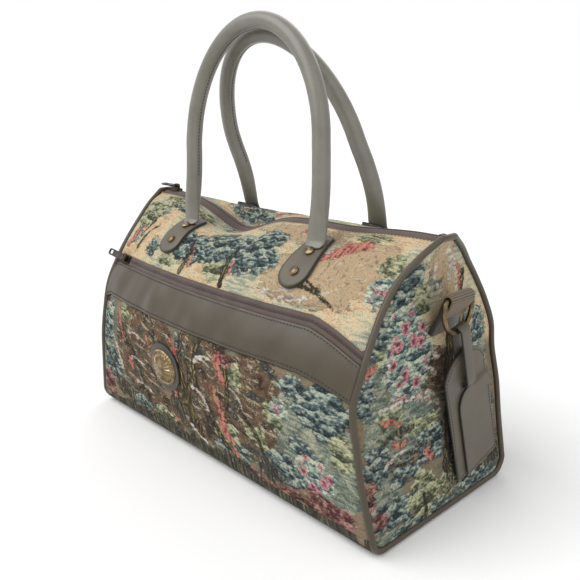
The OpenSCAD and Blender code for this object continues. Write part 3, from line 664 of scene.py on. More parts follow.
bark_tone = upright_flow * 0.3 + (blade - 0.5) * 1.2 + 0.42
bark = bark_tone.yarns((34, 30, 28), (52, 44, 36), (84, 70, 46), (122, 106, 62), (150, 134, 88))
colour = edge_of("trunk", 0.3).over(colour, bark)
colour = outline_of("trunk", 1.2, 0.3).paint(colour, 34, 31, 28)

leaves = foliage.yarns((50, 64, 67), (84, 104, 103), (122, 142, 133), (162, 174, 155), (194, 200, 176))
colour = edge_of("rose").over(colour, leaves)
rose_cell = {"Vector": thread, "Scale": 1 / (ROSE_PITCH * MM), "Randomness": 0.8}
rosette = cloth.node("TexVoronoi", {"voronoi_dimensions": "2D"}, rose_cell, "Distance") + (leaf - 0.5) * 0.42
PETALS = (
    (94, 52, 62), (118, 62, 76), (156, 92, 106), (184, 122, 130), (198, 152, 150), (138, 86, 94), (66, 62, 60)
)
petals = (rosette * (1 / (PETAL_STEP * len(PETALS)))).yarns(*PETALS)
flower = ((FLOWER_REACH - rosette) * 14.0).clamped() * ((grown["rose"] - 1.5) * 0.5).clamped()
colour = flower.over(colour, petals)
print("growth ready:", len(tapestry.node_tree.nodes), "nodes")

# %% Accents and undergrowth
accent_tone = (blade - 0.5) * 1.3 + (leaf - 0.5) * 0.9 + 0.5
coral = accent_tone.yarns((98, 60, 54), (152, 84, 78), (186, 112, 102), (194, 138, 116), (172, 132, 96))
colour = edge_of("coral", 1.2).over(colour, coral)
colour = (outline_of("coral", 1.0, 1.2) * 0.5).paint(colour, 78, 50, 46)
berry = foliage.yarns((50, 34, 34), (78, 48, 46), (104, 64, 60), (134, 92, 84), (166, 132, 120))
colour = edge_of("berry").over(colour, berry)
under_tone = (blade - 0.5) * 1.1 + (clump - 0.5) * 0.8 + upright_flow * 0.12 + 0.42
thicket = under_tone.yarns((34, 35, 32), (48, 49, 43), (70, 68, 56), (102, 97, 79), (146, 136, 112))
colour = edge_of("thicket", 2.0).over(colour, thicket)
pale_tone = (streak - 0.5) * 1.2 + (leaf - 0.5) * 0.8 + 0.5
pale = pale_tone.yarns((132, 118, 112), (166, 154, 144), (196, 188, 174), (212, 206, 194))
colour = edge_of("pale", 0.6).over(colour, pale)
colour = (ink * (clump * 1.6 - 0.5).clamped() * 0.6).paint(colour, 52, 48, 42)
print("accents ready:", len(tapestry.node_tree.nodes), "nodes")

# %% [markdown]
# ## The weave itself
#
# Close up, tapestry is ribbed: wefts lie over warps, and here and there the ground warp shows through. Real
# threads would be millions of small tubes. A pair of sine waves with the threads' own pitch paints shade into
# the hollows and bumps the surface instead, and a random number for each thread keeps the yarn uneven.

# %% Weave
warp, weft = (cloth.node("SeparateXYZ", {}, {0: place}, axis) for axis in "XY")
rib = abs((weft * (math.pi / (THREAD_V * MM))).sine())
float_over = abs((warp * (math.pi / (THREAD_U * MM))).sine())
ground_warp = ((fleck - 0.86) * 20.0).clamped() * 0.45
colour = ground_warp.paint(colour, 88, 82, 70)
# painted shade: rib and float_over darken the hollows between the threads; fleck is each thread's own yarn
# tone
shade = rib * 0.20 + fleck * 0.20 + float_over * 0.08 + 0.66
grey = cloth.node("CombineColor", {}, {0: shade, 1: shade, 2: shade})
shaded = {"data_type": "RGBA", "blend_type": "MULTIPLY"}
colour = cloth.node("Mix", shaded, {0: 1.0, 6: colour, 7: grey}, 2)
colour.feed(tapestry_shader, "Base Color")
lumps = (clump - 0.5) * 1.3 + (leaf - 0.5) * 1.5 + (fleck - 0.5) * 0.2 + 0.5
add_relief(cloth, tapestry_shader, rib * 0.5 + float_over * 0.25 + fleck * 0.4 + lumps * 0.6, 0.4, 0.3)
print("tapestry nodes:", len(tapestry.node_tree.nodes))

# %% [markdown]
# ## The woven design
#
# A design is a list of growths for each kind: a middle and two half sizes, in mm on the cloth. A tree
# crown is drawn as a bunch of lobes set round its middle by the golden angle, which spreads them evenly
# without a pattern that the eye can catch. The field of an ellipse is how deep a point lies inside it, and
# several ellipses join by taking the largest. A stroke, such as a trunk, is a row of circles.

# %% Growths as ellipses
GOLDEN_ANGLE = math.radians(137.5)
LOBES, LOBE_REACH_SHARE, HEART_SHARE = 9, 0.64, 0.6
LOBE_SHARE, LOBE_CHANGE = 0.36, 0.08
STROKE_STEPS = 16
STROKE_NUMBERS = 7
LOBED = ("crown", "sage", "rose", "berry")


def lobes_of(growth):
    """Ellipses of one crown: one in its middle and the rest round it, at golden angles."""
    u, v, half_u, half_v = growth
    step = np.arange(LOBES)
    turn = step * GOLDEN_ANGLE + u
    reach = np.where(step == 0, 0.0, LOBE_REACH_SHARE)
    size = np.where(step == 0, HEART_SHARE, LOBE_SHARE + LOBE_CHANGE * np.cos(3.0 * step + v))
    middle_u, middle_v = u + half_u * reach * np.cos(turn), v + half_v * reach * np.sin(turn)
    return np.stack([middle_u, middle_v, half_u * size, half_v * size], -1)


def circles_of(stroke):
    """Circles along one stroke: from a start to a stop, bowed sideways, with a width at each end."""
    u0, v0, u1, v1, bow, wide, thin = stroke
    t = np.linspace(0, 1, STROKE_STEPS)
    side = np.array([v0 - v1, u1 - u0]) / math.hypot(u1 - u0, v1 - v0)
    arch = bow * 4 * t * (1 - t)
    radius = mix(wide, thin, t)
    return np.stack([mix(u0, u1, t) + side[0] * arch, mix(v0, v1, t) + side[1] * arch, radius, radius], -1)


def ellipses_of(kind, growth):
    """Ellipses of one growth: a stroke has seven numbers, a lobed or plain patch has four."""
    if len(growth) == STROKE_NUMBERS:
        return circles_of(growth)
    return lobes_of(growth) if kind in LOBED else [growth]


print("ellipses of one crown:", len(lobes_of((0, 0, 20, 20))))

# %% Design fields
FIELD_LIMIT = 20.0


def ellipse_field(u, v, ellipses):
    """Depth inside the nearest ellipse, in mm, and how far up that ellipse the point lies, from -1 to 1."""
    depth = np.full(u.shape, -FIELD_LIMIT)
    up = np.zeros(u.shape)
    for middle_u, middle_v, half_u, half_v in ellipses:
        here = (1 - np.hypot((u - middle_u) / half_u, (v - middle_v) / half_v)) * min(half_u, half_v)
        up = np.where(here > depth, np.clip((v - middle_v) / half_v, -1, 1), up)
        depth = np.maximum(depth, here)
    return depth, up


def woven(u, v, design):
    """Fields of a design on the cloth's points: an array for each kind of growth, and the light on crowns."""
    fields = {}
    light = np.zeros(u.shape)
    deepest = np.full(u.shape, -FIELD_LIMIT)
    for kind in KINDS[:-1]:
        ellipses = [e for growth in design.get(kind, ()) for e in ellipses_of(kind, growth)]
        depth, up = ellipse_field(u, v, ellipses)
        fields[kind] = np.clip(depth, -FIELD_LIMIT, FIELD_LIMIT)
        if kind in LOBED:
            light = np.where(depth > deepest, up, light)
            deepest = np.maximum(deepest, depth)
    fields["lit"] = light
    return fields


middle_field = woven(np.zeros(1), np.zeros(1), {"water": [(0, 0, 8, 12)]})
print("depth at the middle of a pond:", float(middle_field["water"][0]), "mm")

# %% [markdown]
# ## Layout of the growths
#
# The front shows a sky with trees on its roof, and stones, water and bushes on its pocket. Its two panels
# share one layout, because they are cut from one cloth. The rear and the ends have layouts of their own. A
# list of numbers is enough for this: moving a tree means changing two of them.

# %% Design of the front
FRONT_DESIGN = {
    "water": [(134, 66, 40, 38), (152, 34, 34, 24), (74, 30, 34, 16), (-168, 52, 16, 34),
        (-150, 214, 24, 10)],
    "stone": [(100, 182, 54, 22), (138, 206, 28, 20), (60, 226, 46, 12), (-98, 66, 44, 50),
        (-64, 20, 40, 18), (20, 78, 50, 40), (0, 40, 46, 32), (76, 92, 30, 24), (-60, 92, 30, 24),
        (70, 52, 30, 34)],
    "crown": [(-52, 186, 26, 20), (-24, 206, 18, 12), (10, 190, 30, 22), (34, 211, 16, 12),
        (-112, 174, 12, 9), (-120, 229, 22, 9), (-30, 235, 26, 7), (-166, 88, 18, 28), (-158, 40, 18, 20),
        (146, 88, 26, 22), (118, 100, 14, 10), (-22, 186, 18, 14), (42, 190, 16, 13), (104, 24, 28, 16),
        (-20, 98, 9, 14), (40, 16, 26, 12), (-110, 12, 24, 9), (124, 52, 14, 10)],
    "sage": [(-152, 206, 16, 20), (-134, 233, 22, 9), (-86, 229, 18, 8), (160, 206, 11, 13),
        (126, 232, 20, 8), (-2, 170, 16, 9), (-76, 167, 14, 7), (52, 92, 12, 12), (98, 70, 12, 13),
        (34, 30, 18, 14), (-122, 104, 14, 8), (164, 62, 12, 16), (76, 44, 14, 10), (-64, 12, 20, 7)],
    "trunk": [(-50, 160, -54, 192, -3, 2.2, 1.2), (12, 160, 8, 194, 4, 2.4, 1.2),
        (-160, 166, -138, 206, -6, 1.6, 0.9), (-138, 168, -124, 196, 5, 1.5, 0.9),
        (-10, 20, -16, 112, 8, 6, 3.5), (-24, 40, -8, 86, -6, 4, 2.5), (2, 66, 10, 112, 3, 3, 2),
        (-130, 90, -90, 18, 10, 3.0, 2.0), (-60, 30, 0, 6, 8, 3, 2), (20, 34, 70, 4, -10, 3, 2),
        (60, 60, 84, 16, 6, 2.2, 1.4), (-176, 60, -150, 20, 4, 2, 1.4), (44, 96, 40, 56, 2, 3, 2),
        (70, 186, 118, 170, 4, 1.6, 1.2), (90, 176, 132, 164, 3, 1.4, 1.0)],
    "rose": [(164, 184, 11, 14), (-150, 180, 10, 8), (136, 34, 22, 18), (-156, 102, 12, 8),
        (104, 78, 10, 10)],
    "coral": [(104, 208, 128, 220, 4, 6, 5), (92, 200, 106, 208, 0, 4, 5),
        (-158, 166, -146, 190, 3, 2.5, 1.5), (-42, 170, -46, 184, 0, 1.8, 1.4),
        (16, 168, 14, 180, 1, 1.8, 1.4), (-38, 52, -42, 14, 3, 4.0, 2.6), (34, 104, 40, 80, -2, 4, 3),
        (24, 72, 30, 34, 5, 3.0, 4.4), (30, 34, 44, 12, 3, 4, 2.6), (-134, 104, -128, 72, 2, 2.4, 2),
        (-120, 60, -112, 36, 2, 2.4, 1.6), (-32, 98, -28, 76, 2, 2.4, 3), (56, 228, 78, 224, 2, 3, 2),
        (-18, 238, 4, 236, 0, 3, 2), (-78, 92, -74, 76, 1, 2, 1.6)],
    "berry": [(148, 8, 30, 12), (112, 2, 26, 8), (-172, 14, 12, 16), (-168, 108, 10, 7), (46, 104, 8, 9),
        (72, 2, 20, 6)],
    "thicket": [(-110, -2, 40, 10), (-60, 0, 36, 10), (-10, 0, 36, 9), (36, 0, 30, 9), (-140, 16, 16, 10),
        (84, 16, 16, 10), (-34, 30, 12, 12)],
    "pale": [(-6, 62, 14, 46, 5, 2.4, 1.6), (4, 90, 24, 96, 4, 2.0, 1.4), (-24, 24, 10, 6, -5, 2.2, 1.4),
        (48, 78, 62, 66, 3, 2.0, 1.4), (62, 166, 104, 186, -4, 1.6, 1.2),
        (80, 164, 126, 180, -5, 1.6, 1.2), (-112, 86, -92, 84, 2, 1.6, 1.2),
        (-112, 60, -88, 57, 2, 1.6, 1.2), (-108, 34, -84, 30, 2, 1.6, 1.2),
        (-150, 70, -136, 30, 3, 1.8, 1.2)],
}
print("growths:", sum(len(growths) for growths in FRONT_DESIGN.values()))

# %% Design of the rear
REAR_DESIGN = {
    "water": [(-130, 62, 56, 36), (60, 36, 70, 28), (150, 112, 36, 26), (-20, 150, 50, 16)],
    "stone": [(-112, 150, 54, 40), (92, 100, 46, 44), (130, 200, 46, 28), (-30, 60, 40, 34),
        (20, 190, 34, 20)],
    "crown": [(-30, 186, 40, 28), (42, 172, 34, 28), (-150, 100, 30, 38), (10, 112, 30, 24),
        (150, 56, 32, 38), (-64, 52, 30, 24), (112, 152, 26, 22), (-140, 224, 30, 12), (60, 230, 36, 9),
        (-90, 110, 22, 18)],
    "sage": [(-80, 206, 24, 18), (30, 54, 26, 20), (84, 56, 18, 20), (-18, 142, 22, 13),
        (160, 168, 20, 24), (-120, 30, 26, 12)],
    "trunk": [(18, 40, 24, 106, -6, 5, 3), (-62, 70, -56, 172, 8, 6, 3),
        (118, 40, 112, 140, -6, 4.5, 2.5), (-26, 100, -22, 168, 4, 3.5, 2),
        (-150, 30, -146, 84, 3, 4, 2.5), (60, 8, 130, 30, 8, 3, 2)],
    "rose": [(-132, 186, 24, 22), (72, 136, 24, 20), (-102, 40, 26, 20), (164, 100, 16, 20),
        (4, 214, 18, 14)],
    "coral": [(-44, 96, -40, 60, 4, 4, 3), (90, 206, 110, 200, 3, 6, 5), (52, 110, 56, 80, -3, 4, 3),
        (-148, 170, -142, 146, 2, 3, 2), (2, 224, 24, 228, 0, 3, 2), (130, 96, 126, 70, 2, 3, 2)],
    "berry": [(-160, 12, 30, 15), (20, 8, 36, 11), (140, 12, 30, 13)],
    "thicket": [(-70, 2, 46, 9), (80, 2, 46, 9), (-10, 22, 20, 10)],
    "pale": [(-120, 140, -70, 146, 5, 2.2, 1.6), (70, 92, 110, 98, 4, 2.2, 1.6),
        (100, 180, 150, 190, 5, 2.0, 1.4), (-40, 40, -10, 52, 4, 2.0, 1.4),
        (30, 196, 50, 210, 3, 1.8, 1.2)],
}
print("growths:", sum(len(growths) for growths in REAR_DESIGN.values()))

# %% Design of the ends
END_DESIGN = {
    "water": [(62, 100, 16, 44), (0, 196, 12, 14), (-52, 150, 30, 34), (-46, 84, 40, 22),
        (-68, 104, 14, 16), (-72, 8, 18, 10), (30, 140, 18, 30), (-66, 44, 18, 14)],
    "stone": [(2, 206, 14, 18), (20, 178, 16, 22), (-6, 122, 22, 18)],
    "crown": [(-38, 196, 20, 20), (-66, 162, 14, 20), (-79, 122, 10, 20), (-74, 68, 15, 16),
        (-42, 52, 22, 10), (-12, 64, 20, 16), (58, 140, 12, 20), (64, 60, 20, 26), (26, 30, 28, 14),
        (-64, 26, 26, 12), (-24, 8, 44, 10), (44, 10, 36, 11)],
    "sage": [(-26, 28, 19, 19), (6, 26, 14, 12), (-56, 96, 16, 9), (-26, 84, 22, 7), (46, 30, 16, 10),
        (-18, 178, 10, 12), (-60, 142, 9, 12)],
    "trunk": [(8, 40, 14, 150, -5, 8, 5), (44, 120, 36, 190, 8, 4.5, 3), (-24, 8, -26, 28, 0, 1.4, 1.2),
        (20, 44, 50, 20, 6, 3, 2), (-66, 80, -40, 84, 3, 1.2, 0.9), (-60, 64, -34, 60, -3, 1.2, 0.9)],
    "rose": [(-36, 152, 22, 30), (-32, 116, 22, 16), (-54, 132, 10, 14), (-20, 138, 12, 16)],
    "coral": [(-64, 93, -48, 90, 2, 2.4, 1.8), (-56, 78, -42, 75, -2, 2.4, 1.8),
        (-20, 60, -14, 52, 2, 2.8, 2.6), (30, 66, 40, 36, 6, 2.4, 2), (22, 60, 28, 34, -4, 2, 2),
        (-78, 134, -72, 140, 2, 2.4, 1.8), (24, 196, 30, 180, 3, 2, 2)],
    "berry": [(-82, 48, 6, 10), (34, 52, 14, 10), (-76, 26, 8, 7)],
    "thicket": [(10, 60, 7, 38), (-40, 66, 14, 2), (-50, 84, 10, 2), (70, 30, 14, 12)],
    "pale": [(-74, 100, -6, 96, 8, 2.0, 2.6), (-66, 62, -34, 68, 4, 1.5, 1.1),
        (-60, 128, -46, 150, 3, 1.4, 1.0), (-14, 106, 0, 88, 4, 2.0, 1.6), (6, 214, 16, 186, 4, 2.6, 2.0),
        (14, 206, 26, 180, 4, 2.4, 1.6), (-4, 204, 4, 182, -3, 2.0, 1.6), (-12, 136, 2, 128, 2, 1.6, 1.2),
        (-16, 126, 0, 116, 2, 1.4, 1.0), (44, 150, 40, 120, 3, 2.2, 1.6)],
}
print("growths:", sum(len(growths) for growths in END_DESIGN.values()))

# %% [markdown]
# ## Leather
#
# The trim is smooth taupe cowhide: satin, faintly mottled, with a fine pebble grain, and painted darker
# on its cut edges. A cut edge is marked on the mesh by an attribute, so the paint follows each piece. The
# material reads Object coordinates, which stay put on a piece that sits at the origin. The handles are
# rubbed glossy, and painted paler and greyer than the tabs as a painted sheen; the band is a smoother
# hide, and the badge's disc is the darkest.

# %% Leather
GRAIN = 1.1
MOTTLE, FINE = 26.0, 2.4
DARK_EDGE = (46, 46, 44)


def make_leather(name, dark, mid, pale, edge_paint_and_rib_shade=DARK_EDGE, roughness=0.33, coat=0.03):
    """Satin leather: mottled colour, fine pebble grain and a dark painted edge, which on the webbing is
    painted shade between its ribs.
    """
    constants = {"Coat Weight": coat, "Coat Roughness": 0.35, "Specular IOR Level": 0.42}
    material, start, shader = new_material(name, constants)
    where = start.node("TexCoord", {}, {}, "Object")
    mottle = start.noise(where, MOTTLE, 3.0)
    fine = start.noise(where, FINE, 2.0)
    edge = start.node("Attribute", {"attribute_name": "edge"}, {}, "Fac")
    hide = (mottle * 0.75 + fine * 0.25).ramp((0.25, dark), (0.5, mid), (0.75, pale))
    edge.clamped().paint(hide, *edge_paint_and_rib_shade).feed(shader, "Base Color")
    (mottle * 0.16 + fine * 0.10 + roughness).feed(shader, "Roughness")
    cell = {"Vector": where, "Scale": 1 / (GRAIN * MM)}
    pebble = start.node("TexVoronoi", {"feature": "F1"}, cell, "Distance")
    add_relief(start, shader, pebble * 0.6 + fine * 0.5, 0.22, 0.12)
    return material


leather = make_leather("leather", (75, 68, 56), (86, 79, 65), (97, 90, 76))
disc_leather = make_leather("disc_leather", (50, 45, 38), (60, 54, 46), (70, 64, 55))
# painted shade: the webbing's dark fourth colour goes in the hollows between its ribs, not on a cut edge
webbing = make_leather("webbing", (96, 82, 64), (110, 95, 75), (124, 108, 87), (56, 47, 37))
band_hide = make_leather(
    "band_hide", (62, 53, 38), (67, 58, 43), (72, 63, 48), roughness=0.26, coat=0.06
)
# painted sheen: the handle leather is painted paler and greyer than the tabs' leather, for the sheen on its
# legs
sheen_painted_handle_leather = make_leather(
    "sheen_painted_handle_leather", (102, 100, 89), (112, 110, 99), (122, 120, 110), roughness=0.22, coat=0.25
)
print("leathers:", [made.name for made in (leather, disc_leather, webbing, band_hide, sheen_painted_handle_leather)])

# %% [markdown]
# ## Metal, tape and thread
#
# The hardware is antiqued brass: dark in its hollows and rubbed bright on its rises, which a blotchy noise
# can stand for at this size. Zip tape is a plain mauve-brown weave, and thread and lining are plain weaves
# too. One cloth material serves them all, with its own pitch and pair of colours for each. It also stands
# for the teeth and the boards, which are too small or too well hidden to need a finish of their own.

# %% Metal


def make_bronze(name, dark, mid, bright, roughness):
    """Antiqued brass: patina in blotches, rubbed bright between them."""
    material, start, shader = new_material(name, {"Metallic": 1.0})
    where = start.node("TexCoord", {}, {}, "Object")
    patina = start.noise(where, 7.0, 4.0)
    scratch = start.noise(where, 1.2, 2.0)
    wear = patina * 0.7 + scratch * 0.3
    wear.ramp((0.3, dark), (0.5, mid), (0.7, bright)).feed(shader, "Base Color")
    (roughness + (0.5 - wear) * 0.4).feed(shader, "Roughness")
    add_relief(start, shader, scratch, 0.2, 0.1)
    return material


bronze = make_bronze("bronze", (60, 50, 36), (104, 89, 65), (154, 136, 104), 0.36)
# painted reflection: this brass, on the rivets and the boss, is painted brighter than the rings' brass for
# the pale surroundings it reflects
reflection_painted_brass = make_bronze("reflection_painted_brass", (84, 71, 52), (128, 111, 84), (176, 158, 126), 0.34)
dark_bronze = make_bronze("dark_bronze", (40, 36, 32), (66, 60, 52), (104, 94, 78), 0.42)
print("metals:", bronze.name, reflection_painted_brass.name, dark_bronze.name)

# %% Plain cloth and card


def make_cloth(name, dark, pale, pitch, roughness=0.8):
    """Plain woven cloth: two crossed sets of threads, with painted shade between them and blotches of colour.
    """
    material, start, shader = new_material(name, {"Roughness": roughness, "Sheen Weight": 0.1})
    where = start.node("TexCoord", {}, {}, "Object")
    x, y, z = (start.node("SeparateXYZ", {}, {0: where}, axis) for axis in "XYZ")
    turn = math.pi / (pitch * MM)
    weave = abs(((x + z) * turn).sine()) * 0.5 + abs(((x - z + y) * turn).sine()) * 0.5
    blotch = start.noise(where, 14.0, 3.0)
    # painted shade: the weave darkens the colour between the threads; the blotches are the cloth's own uneven
    # colour
    (weave * 0.5 + blotch * 0.5).ramp((0.2, dark), (0.8, pale)).feed(shader, "Base Color")
    add_relief(start, shader, weave, 0.3, 0.15)
    return material


zip_tape = make_cloth("zip_tape", (62, 50, 45), (94, 79, 72), 0.7)
zip_teeth = make_cloth("zip_teeth", (40, 31, 29), (66, 53, 49), 0.5, 0.5)
thread_cloth = make_cloth("thread", (38, 35, 31), (64, 60, 53), 0.4)
hem_thread = make_cloth("hem_thread", (150, 136, 112), (188, 174, 148), 0.4)
lining = make_cloth("lining", (60, 52, 46), (86, 76, 66), 0.6)
card_stock = make_cloth("card_stock", (226, 222, 208), (240, 236, 224), 0.3)
base_board = make_cloth("base_board", (70, 64, 56), (92, 84, 72), 1.2)
print("finishes:", len(bpy.data.materials))

# %% [markdown]
# ## Cloth panels
#
# The body is sewn from tapestry that is quilted to padding and lining: a front roof above the pocket zip,
# a pocket front below the band, one whole rear side, a base and two gable ends. Each panel is a grid on the
# skin with a second grid one thickness below it, closed round its rim. The cloth's own coordinates run in
# mm along the bag and down the section, and both the design and the weave are drawn on them.

# %% Lines of the front
POCKET_ZIP_Z = 164.0
CHAIN_W, TAPE_W = 5.0, 5.5
ZIP_HALF = CHAIN_W / 2 + TAPE_W
HEM_HALF = 4.6
BAND_W, BAND_PROUD = 37.4, 1.0
ZIP_FALL, BAND_FALL_SHARE = 16.0, 0.7
RIGHT_RUN_SHARE, LEFT_RUN_SHARE, LEFT_FALL_SHARE, FALL_POWER = 0.69, 0.93, 0.35, 1.3
zip_steepness = side_normal(share_at(POCKET_ZIP_Z))[0]


def fall(k):
    """How much of the run-down a line has along the bag: none in the middle, most at the right end."""
    right = np.clip((k - RIGHT_RUN_SHARE) / (1 - RIGHT_RUN_SHARE), 0, 1) ** FALL_POWER
    left = np.clip((-k - LEFT_RUN_SHARE) / (1 - LEFT_RUN_SHARE), 0, 1) ** FALL_POWER
    return right + LEFT_FALL_SHARE * left


def front_line(above, drop=ZIP_FALL):
    """Line across the front, above the pocket zip by a distance up the cloth: shares of the section."""
    return lambda k: share_at(POCKET_ZIP_Z + above * zip_steepness - drop * fall(k))


ridge_line, base_line = np.zeros_like, np.ones_like
zip_top_line, zip_middle_line, zip_foot_line = (front_line(above) for above in (ZIP_HALF, 0.0, -ZIP_HALF))
roof_foot_line, band_top_line = front_line(HEM_HALF), front_line(-HEM_HALF)
band_foot_line = front_line(-HEM_HALF - BAND_W, ZIP_FALL * BAND_FALL_SHARE)


def between(top, bottom, k, share):
    """Places along the bag and shares of the section, part of the way down from one line to another."""
    s = mix(top(k), bottom(k), share)
    return k * panel_half(s), s


print("pocket zip runs down", ZIP_FALL, "mm to the right; the cloth there leans by", round(zip_steepness, 2))

# %% Tapestry panels
GRID_PITCH = 1.6
PANEL_COLS = 230
REAR_CLOTH, END_CLOTH, LEFT_CLOTH = 1000.0, 2000.0, 3000.0
RIM_W, RIM_DROP, HEM_DROP_PART = 5.0, 1.3, 0.35
PANEL_K = np.linspace(-1, 1, PANEL_COLS)[None, :]


def rim_roll(distance):
    """How far the padding rolls down to a sewn rim: all the way at it, and not at all a rim's width in."""
    return np.clip(1 - distance / RIM_W, 0, 1) ** 2


def tapestry_panel(name, top, bottom, face, design, cloth_start, *stands_for):
    """Padded panel between two lines, with the design woven into it.

    The cloth's coordinates run along the bag, and up the section from the base.
    """
    middle_s = float(bottom(np.zeros(1))[0] - top(np.zeros(1))[0])
    rows = int(middle_s * section_run / GRID_PITCH) + 2
    x, s = between(top, bottom, PANEL_K, np.linspace(0, 1, rows)[:, None])
    u, v = face * -x, section_run - np.interp(s, table_shares, table_run)
    above, below, beside = (s - s[0]) * section_run, (s[-1] - s) * section_run, panel_half(s) - np.abs(x)
    rolled = rim_roll(above) + rim_roll(beside)
    if bottom is not base_line:
        rolled = rolled + HEM_DROP_PART * rim_roll(below)
    outer = skin(x, s, face, -RIM_DROP * np.minimum(rolled, 1))
    uv = np.stack([u + cloth_start, v], -1)
    made = shell(name, outer, skin(x, s, face, -PANEL_T), uv, woven(u, v, design))
    return dress(made, tapestry, "bag", "tapestry", *stands_for)


tapestry_panel("front_roof", ridge_line, roof_foot_line, FRONT, FRONT_DESIGN, 0.0, "front_panel")
tapestry_panel("pocket_front", band_foot_line, base_line, FRONT, FRONT_DESIGN, 0.0, "pocket_panel")
tapestry_panel("rear_side", ridge_line, base_line, REAR, REAR_DESIGN, REAR_CLOTH, "rear_panel")

# %% [markdown]
# ## Gable ends, base and piping
#
# Each end is one shaped piece that swells outwards between its seams, and a round leather piping is caught
# in the seam all round it. The end's outline is the skin's own section, carried on round the base corners,
# so the cloth, the piping and the end panel meet along one line. The base is the same cloth, flat below.

# %% End outline
CORNER_ROWS = 12
END_ROWS = 96
PIPING_SINK_SHARE = 0.4
SINK_START = END_ROWS - END_ROWS // 4

corner_turn = np.linspace(0, np.pi / 2, CORNER_ROWS)
base_corner = np.stack([
    BASE_HALF - BASE_ROUND * (1 - np.cos(corner_turn)), BASE_ROUND * (1 - np.sin(corner_turn))
], -1)
corner_normal = np.stack([np.cos(corner_turn), -np.sin(corner_turn)], -1)

# Half outline of an end, from the ridge to the base: depth, height and end draw, with its outward normals
end_shares = np.linspace(0, 1, END_ROWS)
undrawn_corner = np.column_stack([base_corner, np.zeros(CORNER_ROWS)])
outline = np.vstack([curve_at(side_points, end_shares), undrawn_corner[1:]])
outline_normals = np.vstack([side_normal(end_shares), corner_normal[1:]])
sink_share = ease((np.arange(len(outline)) - SINK_START) / (len(outline) - 1 - SINK_START))
piping_sink = PIPING_R * mix(PIPING_SINK_SHARE, 1.0, sink_share)


def end_inset(extra):
    """The end outline moved inwards by the piping's sink and some more."""
    moved = outline.copy()
    moved[:, :2] -= outline_normals * (piping_sink + extra)[:, None]
    return moved


print("end outline points:", len(outline))

# %% Gable ends
END_COLS = 73
END_GAP = PIPING_R / 2


def gable_end(name, hand, cloth_start, node):
    """End panel: across each row the depth runs from rear to front, and the middle swells outwards."""
    edge = end_inset(END_GAP)
    c = np.linspace(1, -1, END_COLS)[None, :]
    height = np.repeat(edge[:, 1:2], END_COLS, 1)
    swell = END_SWELL * np.sin(np.pi * height / RIDGE_Z) * (1 - c**2)
    depth = edge[:, 0:1] * c
    beside = np.minimum(edge[:, 0:1] - np.abs(depth), np.minimum(RIDGE_Z - height, height))
    out = END_HALF - edge[:, 2:3] + swell - RIM_DROP * rim_roll(beside)
    outer = np.stack([hand * out, depth, height], -1)
    inner = np.stack([hand * (out - PANEL_T), depth, height], -1)
    uv = np.stack([depth + cloth_start, height], -1)
    made = shell(name, outer, inner, uv, woven(hand * depth, height, END_DESIGN))
    return dress(made, tapestry, "bag", "tapestry", node)


gable_end("right_end", 1, END_CLOTH, "right_gusset")
gable_end("left_end", -1, LEFT_CLOTH, "left_gusset")

# %% Piping
CORD_R = 2.6
PIPING_SIDES = 12
FLOOR_STEPS = 40


def carry(path, axis, a, b, closed=False):
    """Rings of a profile along a path: a goes along the axis, b square to the axis and the path."""
    ahead = np.roll(path, -1, 0) - np.roll(path, 1, 0)
    if not closed:
        ahead[0], ahead[-1] = path[1] - path[0], path[-1] - path[-2]
    along = unit(ahead)
    first = unit(axis - along * np.sum(axis * along, -1, keepdims=True))
    second = np.cross(along, first)
    return path[:, None] + a[..., None] * first[:, None] + b[..., None] * second[:, None]


def round_cord(name, path, axis, radius, sides):
    """Round cord or wire: a circle carried round a closed path."""
    a, b = (np.tile(radius * wave(full_turn(sides)), (len(path), 1)) for wave in (np.cos, np.sin))
    return tube(name, carry(path, np.asarray(axis, float), a, b, closed=True), closed=True)


def end_piping(name, hand, node):
    """Round cord in the end seam: down the rear, along the base and up the front."""
    half = end_inset(0.0)
    rear = np.stack([hand * (END_HALF - half[:, 2]), half[:, 0], half[:, 1]], -1)
    front = rear[::-1] * [1, -1, 1]
    along_floor = mix(rear[-1:], front[:1], np.linspace(0, 1, FLOOR_STEPS)[1:-1, None])
    path = np.vstack([rear, along_floor, front])
    made = round_cord(name, path, (hand, 0, 0), CORD_R, PIPING_SIDES)
    return dress(made, band_hide, "bag", "leather", node)


end_piping("right_seam_piping", 1, "right_piping")
end_piping("left_seam_piping", -1, "left_piping")

# %% Base
BASE_STEPS = 60
BASE_DESIGN = {"thicket": [(0, -60, 400, 70)]}


def across_base(corner, flat):
    """Values across the base: those of one corner, of the flat stretch and of the corner mirrored."""
    return np.vstack([corner, flat, corner[::-1] * [-1, 1]])[:, None]


def base_sheet():
    """Flat base with rounded long edges: a section carried straight along the bag."""
    flat_y = np.linspace(base_corner[-1, 0], -base_corner[-1, 0], BASE_STEPS)[1:-1]
    section = across_base(base_corner, np.stack([flat_y, np.zeros_like(flat_y)], -1))
    normal = across_base(corner_normal, np.tile([0.0, -1.0], (len(flat_y), 1)))
    x = np.linspace(-1, 1, BASE_STEPS)[None, :] * (END_HALF - SEAM_GAP)
    x, y, z = np.broadcast_arrays(x, section[..., 0], section[..., 1])
    outer = np.stack([x, y, z], -1)
    inner = np.stack([x, y - normal[..., 0] * PANEL_T, z - normal[..., 1] * PANEL_T], -1)
    u, v = x, np.abs(y) - BASE_HALF
    return shell("base_sheet", outer, inner, np.stack([u, v], -1), woven(u, v, BASE_DESIGN))


dress(base_sheet(), tapestry, "bag", "tapestry", "base_panel")

# %% [markdown]
# ## Straps, plates, stitches and turned pieces
#
# Leather goods come down to a few forms: a strap is a flat section carried along a path, a plate is an
# outline with thickness, a rivet is a turned profile, and a seam is a row of short threads. Modelling each
# one from a cube would take many edits. Four small functions make them all as grids of points instead, and
# they mark the cut edges of the leather with an attribute, which the leather material paints dark.

# %% Straps
CORNER_STEPS = 5
EDGE_SLOPE = 0.35


